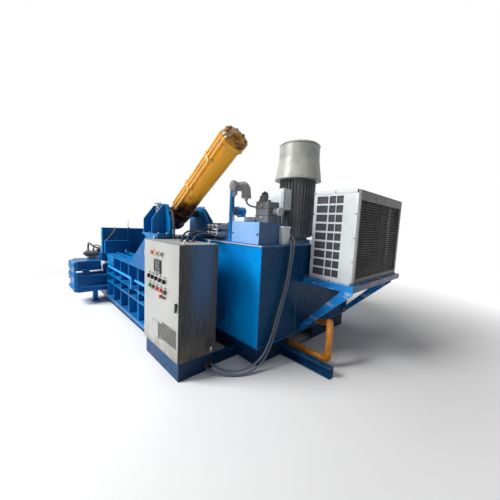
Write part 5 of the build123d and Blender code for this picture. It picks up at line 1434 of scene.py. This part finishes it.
def suction_details():
    """Flange bolts and welded collars of the suction pipe."""
    bolts = []
    for step in range(6):
        angle = 2 * math.pi * (step + 0.5) / 6
        bolts.append((1.764, 1.300 + 0.051 * math.cos(angle), 0.350 + 0.051 * math.sin(angle)))
    piece(hex_bolts(bolts, 0.008, "+X"), "suction_flange_bolts", "frame", finishes["pin_steel"], "pin_steel")
    hoops = [ring((2.255, 0.900, 0.180), 0.0405, 0.005, "Z", sides=48), ring((2.180, 0.900, 0.092), 0.0405, 0.005, "X", sides=48)]
    piece(hoops, "suction_collars", "frame", finishes["pipe_orange"], "pipe_orange")


COOLER = ((1.794, 1.105, 0.970), (2.364, 2.640, 2.080))
SHEET = 0.005
WINDOW_ROWS = 9
WINDOW_PITCH = 0.112
WINDOW_COLUMNS = ((1.915, 0.153), (2.0515, 0.085), (2.1465, 0.085))
BLADE_COUNT = 31
BLADE_PITCH = 0.030
BLADES_Y = (1.195, 2.570)
BLADES_Z = (1.035, 1.965)


def cooler_sheets():
    """The cooler's case with nine rows of air windows, a bank of slanted blades and the fan's round opening."""
    (x0, y0, z0), (x1, y1, z1) = COOLER
    front = block((x0, y0, z0), (x1, y0 + SHEET, z1))
    middle = (z0 + z1) / 2
    holes = []
    for row in range(WINDOW_ROWS):
        z = middle + WINDOW_PITCH * (row - (WINDOW_ROWS - 1) / 2)
        for x, wide in WINDOW_COLUMNS:
            holes.append(block((x - wide / 2, y0 - 0.01, z - 0.044), (x + wide / 2, y0 + 0.02, z + 0.044)))
    activate(*holes)
    bpy.ops.object.join()
    carve(front, bpy.context.object)
    back = block((x0, y1 - SHEET, z0), (x1, y1, z1))
    carve(back, drum(((x0 + x1) / 2, y1, 1.520), 0.240, 0.04, "Y", sides=96))
    inner = y0 + SHEET, y1 - SHEET
    side = block((x1 - SHEET, inner[0], z0), (x1, inner[1], z1))
    carve(side, block((x1 - 0.02, BLADES_Y[0], BLADES_Z[0]), (x1 + 0.01, BLADES_Y[1], BLADES_Z[1])))
    rest = [
        block((x0, inner[0], z0), (x0 + SHEET, inner[1], z1)),
        block((x0 + SHEET, inner[0], z0), (x1 - SHEET, inner[1], z0 + SHEET)),
        block((x0 + SHEET, inner[0], z1 - SHEET), (x1 - SHEET, inner[1], z1)),
    ]
    posts = []
    for y in (BLADES_Y[0] - 0.006, sum(BLADES_Y) / 2 - 0.003, BLADES_Y[1]):
        posts.append(block((x1 - 0.022, y, BLADES_Z[0] - 0.014), (x1 - SHEET, y + 0.006, BLADES_Z[1] + 0.014)))
    slat = block((-0.0132, BLADES_Y[0], -0.0015), (0.0132, BLADES_Y[1], 0.0015))
    bpy.ops.object.transform_apply(location=True, rotation=False, scale=False)
    places = []
    for step in range(BLADE_COUNT):
        z = BLADES_Z[0] + BLADE_PITCH * (step + 0.5)
        places.append(Matrix.Translation((x1 - 0.0125, 0, z)) @ Matrix.Rotation(math.radians(36), 4, "Y"))
    # The blades and their posts take a near-black enamel as painted shade.
    piece([*posts, *copies(slat, places)], "cooler_blades", "frame", finishes["shade_dark_blades"], "cooler_white")
    case = piece([front, back, side, *rest], "cooler_sheets", "frame", finishes["cooler_white"], "cooler_white")
    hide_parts("cooler_case")
    core = block((x0 + SHEET, 2.200, z0 + SHEET), (x1 - 0.026, 2.290, z1 - SHEET), 0.001, 1)
    hub = drum((2.079, 2.345, 1.520), 0.060, 0.112, "Y", sides=48, edge=0.003)
    carve(hub, drum((2.079, 2.370, 1.520), 0.0146, 0.080, "Y", sides=48))
    core = piece([core, hub], "cooler_matrix", "frame", finishes["radiator"], "radiator")
    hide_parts("cooler_core")


# Cooler: screens, cap strip, corner post and screws
def cooler_details():
    """Screens behind the windows and blades, the case's corner post, cap strip, screws and fan guard."""
    front = block((1.801, 1.116, 0.978), (2.340, 1.124, 2.072), 0.002)
    side = block((2.312, 1.130, 1.000), (2.320, 2.630, 2.050), 0.002)
    piece([front, side], "cooler_screens", "frame", finishes["woven_screen"], "radiator")
    post = block((2.343, 1.1025, 0.972), (2.3665, 1.150, 2.078), 0.002)
    activate(post)
    carve(post, block((2.330, 1.106, 0.960), (2.3635, 1.160, 2.090)))
    cap = block((1.7915, 1.1025, 2.040), (2.3665, 1.1055, 2.0825), 0.001)
    roof = block((1.7915, 1.1025, 2.0795), (2.3665, 2.6425, 2.0825), 0.001)
    foot = block((1.7925, 1.1025, 0.970), (2.3655, 1.1055, 1.000), 0.001)
    piece([post, cap, roof, foot], "cooler_trim", "frame", finishes["cooler_white"], "cooler_white")
    places = [(x, 1.1025, z) for x in (1.806, 2.354) for z in (0.986, 1.250, 1.525, 1.800, 2.062)]
    places += [(2.080, 1.1025, z) for z in (0.986, 2.062)]
    screws = copies(drum((0, 0, 0.0025), 0.0075, 0.005, sides=16, edge=0.0015), [Matrix.Translation(p) @ TURN_TO["-Y"] for p in places])
    sides = [(2.3645, y, z) for y in (1.130, 1.600, 2.100, 2.610) for z in (0.990, 2.020)]
    screws += copies(drum((0, 0, 0.0025), 0.0075, 0.005, sides=16, edge=0.0015), [Matrix.Translation(p) @ TURN_TO["+X"] for p in sides])
    piece(screws, "cooler_screws", "frame", finishes["knob_black"], "pin_steel")
    guard = [ring((2.079, 2.6395, 1.520), radius, 0.003, "Y", sides=72) for radius in (0.06, 0.10, 0.14, 0.18, 0.22, 0.245)]
    for step in range(4):
        bar = drum((0, 0, 0), 0.003, 0.490, "X", sides=8)
        bar.matrix_world = (
            Matrix.Translation((2.079, 2.6395, 1.520)) @ Matrix.Rotation(math.pi / 4 * step, 4, "Y") @ Matrix.Rotation(math.pi / 2, 4, "Y")
        )
        guard.append(bar)
    piece(guard, "cooler_fan_guard", "frame", finishes["pin_steel"], "pin_steel")
    mounts = hex_bolts([(x, y, 0.978) for x in (2.390,) for y in (1.200, 1.870, 2.560)], 0.012, "+Z")
    piece(mounts, "cooler_mount_bolts", "frame", finishes["pin_steel"], "pin_steel")
    unions = []
    for z in (1.100, 1.900):
        unions.append(drum((1.780, 2.245, z), 0.034, 0.030, "X", sides=32, edge=0.003))
        unions.append(drum((1.762, 2.245, z), 0.028, 0.030, "X", sides=6, edge=0.003))
    piece(unions, "cooler_ports", "frame", finishes["row_grey"], "pipe_grey")


# Studio: a pale floor that runs into white, one soft key lamp on the cabinet's side and weak fills
KEY_POWER = 1150
TOP_POWER = 130
FILL_POWER = 6
AMBIENT = 0.15
FLOOR_NEAR = 3.2
FLOOR_FAR = 6.5


def set_studio():
    scene = bpy.context.scene
    scene.view_settings.view_transform = "Standard"
    world = bpy.data.worlds.new("studio")
    scene.world = world
    world.use_nodes = True
    tree = world.node_tree
    background = tree.nodes["Background"]
    rays = tree.nodes.new("ShaderNodeLightPath")
    seen = tree.nodes.new("ShaderNodeMath")
    seen.operation = "MAXIMUM"
    tree.links.new(rays.outputs["Is Camera Ray"], seen.inputs[0])
    mirrored = tree.nodes.new("ShaderNodeMath")
    mirrored.operation = "MAXIMUM"
    tree.links.new(rays.outputs["Is Glossy Ray"], mirrored.inputs[0])
    tree.links.new(rays.outputs["Is Transmission Ray"], mirrored.inputs[1])
    tree.links.new(mirrored.outputs[0], seen.inputs[1])
    level = tree.nodes.new("ShaderNodeMapRange")
    level.inputs["To Min"].default_value = AMBIENT
    level.inputs["To Max"].default_value = 1.0
    tree.links.new(seen.outputs[0], level.inputs["Value"])
    tree.links.new(level.outputs["Result"], background.inputs["Strength"])
    background.inputs["Color"].default_value = (1, 1, 1, 1)
    low, high = cad_box
    middle = (low + high) / 2
    for name, place, power, size in (
        ("key", middle + Vector((-2.5, -7.5, 5.5)), KEY_POWER, 4),
        ("top", middle + Vector((0, 0, 7)), TOP_POWER, 6),
        ("fill", middle + Vector((8, 1, 2)), FILL_POWER, 5),
    ):
        lamp = bpy.data.lights.new(name, "AREA")
        lamp.energy = power
        lamp.size = size
        placed = bpy.data.objects.new(name, lamp)
        scene.collection.objects.link(placed)
        placed.location = place
        placed.rotation_euler = (middle - place).to_track_quat("-Z", "Y").to_euler()
    lay_floor(middle)


def lay_floor(middle):
    """A pale floor whose far part is lost in the white behind, and whose near part holds the shadow."""
    bpy.ops.mesh.primitive_plane_add(size=60, location=(0, 0, -0.001))
    floor = bpy.context.object
    floor.name = "floor"
    pale = Finish("floor_pale", (0.90, 0.90, 0.90), 0.85, gloss=0.2)
    pale.base(pale.mix(pale.span(pale.noise(0.8, 3), 0.3, 0.7), (0.89, 0.89, 0.89), (0.93, 0.93, 0.93)))
    across = pale.maths("SUBTRACT", pale.axis("X"), middle.x)
    along = pale.maths("SUBTRACT", pale.axis("Y"), middle.y)
    squares = pale.maths("ADD", pale.maths("MULTIPLY", across, across), pale.maths("MULTIPLY", along, along))
    distant = pale.span(pale.maths("SQRT", squares), FLOOR_NEAR, FLOOR_FAR)
    rays = pale.node("ShaderNodeLightPath")
    direct = pale.maths("MAXIMUM", rays.outputs["Is Camera Ray"], rays.outputs["Is Glossy Ray"])
    white = pale.node("ShaderNodeEmission")
    blend = pale.node("ShaderNodeMixShader")
    pale.feed(blend.inputs[0], pale.maths("MULTIPLY", distant, direct))
    pale.feed(blend.inputs[1], pale.shader.outputs[0])
    pale.feed(blend.inputs[2], white.outputs[0])
    pale.feed(pale.tree.nodes["Material Output"].inputs["Surface"], blend.outputs[0])
    floor.data.materials.append(pale.material)


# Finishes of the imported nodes, by the record's material slots, with some nodes' own in place of them
def mix_finishes():
    blue = blue_paint("press_paint", (0.0, 0.105, 0.31), (0.0, 0.190, 0.50))
    finishes.update({
        "press_blue": blue,
        "liner_steel": liner_steel(),
        "cylinder_yellow": cylinder_paint(),
        "rod_chrome": rod_chrome(),
        "pin_steel": bare_steel("pin_steel", (0.40, 0.40, 0.41), (0.18, 0.17, 0.16), 0.34),
        "stainless": stainless_sheet(),
        "knob_black": moulded_plastic("knob_black", (0.016, 0.016, 0.018), 0.40),
        "button_green": moulded_plastic("button_green", (0.01, 0.26, 0.06), 0.25),
        "button_red": moulded_plastic("button_red", (0.55, 0.012, 0.01), 0.25),
        "instrument": moulded_plastic("instrument", (0.03, 0.035, 0.045), 0.35),
        "switch_grey": moulded_plastic("switch_grey", (0.45, 0.46, 0.47), 0.5),
        "motor_grey": machine_grey("motor_grey", (0.22, 0.235, 0.24), (0.13, 0.14, 0.145), 0.42),
        "cooler_white": cooler_sheet(),
        "radiator": radiator_fins(),
        "valve_grey": machine_grey("valve_grey", (0.21, 0.23, 0.25), (0.12, 0.13, 0.14), 0.45, 0.3),
        "pipe_grey": machine_grey("pipe_grey", (0.36, 0.37, 0.39), (0.25, 0.26, 0.28), 0.32),
        "pipe_orange": orange_pipe_paint(),
        "hose_blue": moulded_plastic("hose_blue", (0.01, 0.06, 0.15), 0.4),
        "conduit": moulded_plastic("conduit", (0.02, 0.035, 0.07), 0.5),
        "weld_bead": weld_bead(),
        "woven_screen": woven_screen(),
        # A brighter copy of the press's blue: painted light on the small blue parts that take it.
        "painted_lit_blue": enamel("painted_lit_blue", (0.01, 0.33, 0.84), (0.0, 0.20, 0.60)),
        "box_enamel": enamel("box_enamel", (0.74, 0.79, 0.80), (0.50, 0.54, 0.56)),
        "row_grey": enamel("row_grey", (0.60, 0.62, 0.64), (0.36, 0.38, 0.41), 0.42),
        # Near-black enamel for the cooler's louvre blades: painted shade of its +X side.
        "shade_dark_blades": enamel("shade_dark_blades", (0.075, 0.070, 0.062), (0.20, 0.20, 0.19), 0.35),
        "pipe_amber": enamel("pipe_amber", (0.88, 0.50, 0.11), (0.62, 0.30, 0.05), 0.32),
        "cowl_dark": enamel("cowl_dark", (0.10, 0.105, 0.10), (0.05, 0.05, 0.05), 0.45),
        "plate_black": enamel("plate_black", (0.02, 0.02, 0.022), (0.06, 0.06, 0.06), 0.35),
        "bezel_steel": bare_steel("bezel_steel", (0.55, 0.55, 0.54), (0.32, 0.32, 0.31), 0.26, 20.0),
        "brass_chain": bare_steel("brass_chain", (0.52, 0.42, 0.26), (0.24, 0.17, 0.10), 0.38, 40.0),
        "stainless_dull": bare_steel("stainless_dull", (0.34, 0.34, 0.33), (0.19, 0.18, 0.17), 0.42, 14.0),
        "terminal_green": moulded_plastic("terminal_green", (0.10, 0.24, 0.10), 0.45),
        "meter_glass": moulded_plastic("meter_glass", (0.008, 0.012, 0.022), 0.10, 0.02),
        "gauge_glass": moulded_plastic("gauge_glass", (0.45, 0.35, 0.08), 0.12, 0.02),
        "lit_figure": moulded_plastic("lit_figure", (0.62, 0.66, 0.70), 0.35),
        "red_lamp": lamp_glass("red_lamp", (0.62, 0.03, 0.02)),
        "yellow_lamp": lamp_glass("yellow_lamp", (0.80, 0.42, 0.02)),
        "white_lamp": lamp_glass("white_lamp", (0.30, 0.30, 0.30)),
    })


def dress_nodes():
    skid = blue_paint("skid_paint", (0.0, 0.012, 0.036), (0.0, 0.030, 0.085), 0.25, 0.9)
    dark_blue = blue_paint("end_wall_paint", (0.0, 0.045, 0.15), (0.0, 0.105, 0.34), 0.3, 0.5)
    # The tank's blue is far brighter than the press's: painted light on its front, which the cabinet shades from the
    # key lamp; its +X faces get painted shade.
    tank_blue_painted_light = blue_paint("tank_paint", (0.0, 0.210, 0.60), (0.0, 0.345, 0.90), 0.3, 0.6, (0.0, 0.020, 0.060))
    # A dark navy standing for shade, on the pack's skid and the feed barrel; its +X faces get painted shade as well.
    plinth = blue_paint("shade_navy_paint", (0.0, 0.035, 0.110), (0.0, 0.060, 0.180), 0.3, 0.9, (0.0, 0.020, 0.060))
    own = {
        "press_skid": skid,
        "bale_chamber": dark_blue,
        "oil_tank": tank_blue_painted_light,
        "pack_skid": plinth,
        # The feed barrel, in the gap between cabinet and tank, takes the dark navy as painted shade.
        "feed_barrel": plinth,
        "valve_rows": finishes["row_grey"],
        "tank_cover": stand_paint(),
        "cooler_shelf": shelf_paint(),
        "terminal_box": finishes["box_enamel"],
        "motor_cowl": machine_grey("cowl_grey", (0.50, 0.51, 0.44), (0.30, 0.31, 0.29), 0.36),
    }
    for row in frame["record"]["subparts"]:
        mesh = nodes[row["node"]].data
        mesh.materials.clear()
        mesh.materials.append(own.get(row["node"], finishes[row["material_slot"]]))


finishes = {}


def main():
    place_camera()
    set_studio()
    mix_finishes()
    dress_nodes()
    lay_cords()
    press_welds()
    hopper_chain()
    end_wall_details()
    pedestal_details()
    guard_details()
    chamber_feet()
    latch_details()
    door_details()
    chamber_valve_details()
    lid_details()
    slim_cylinder()
    cylinder_details()
    cabinet_seal()
    door_lamps()
    door_meter()
    knob_details()
    door_vents()
    cabinet_fittings()
    switchgear_wiring()
    motor_details()
    stand_details()
    valve_details()
    valve_row_details()
    fat_elbow()
    return_bend_details()
    tank_details()
    suction_run()
    suction_details()
    cooler_sheets()
    cooler_details()


main()
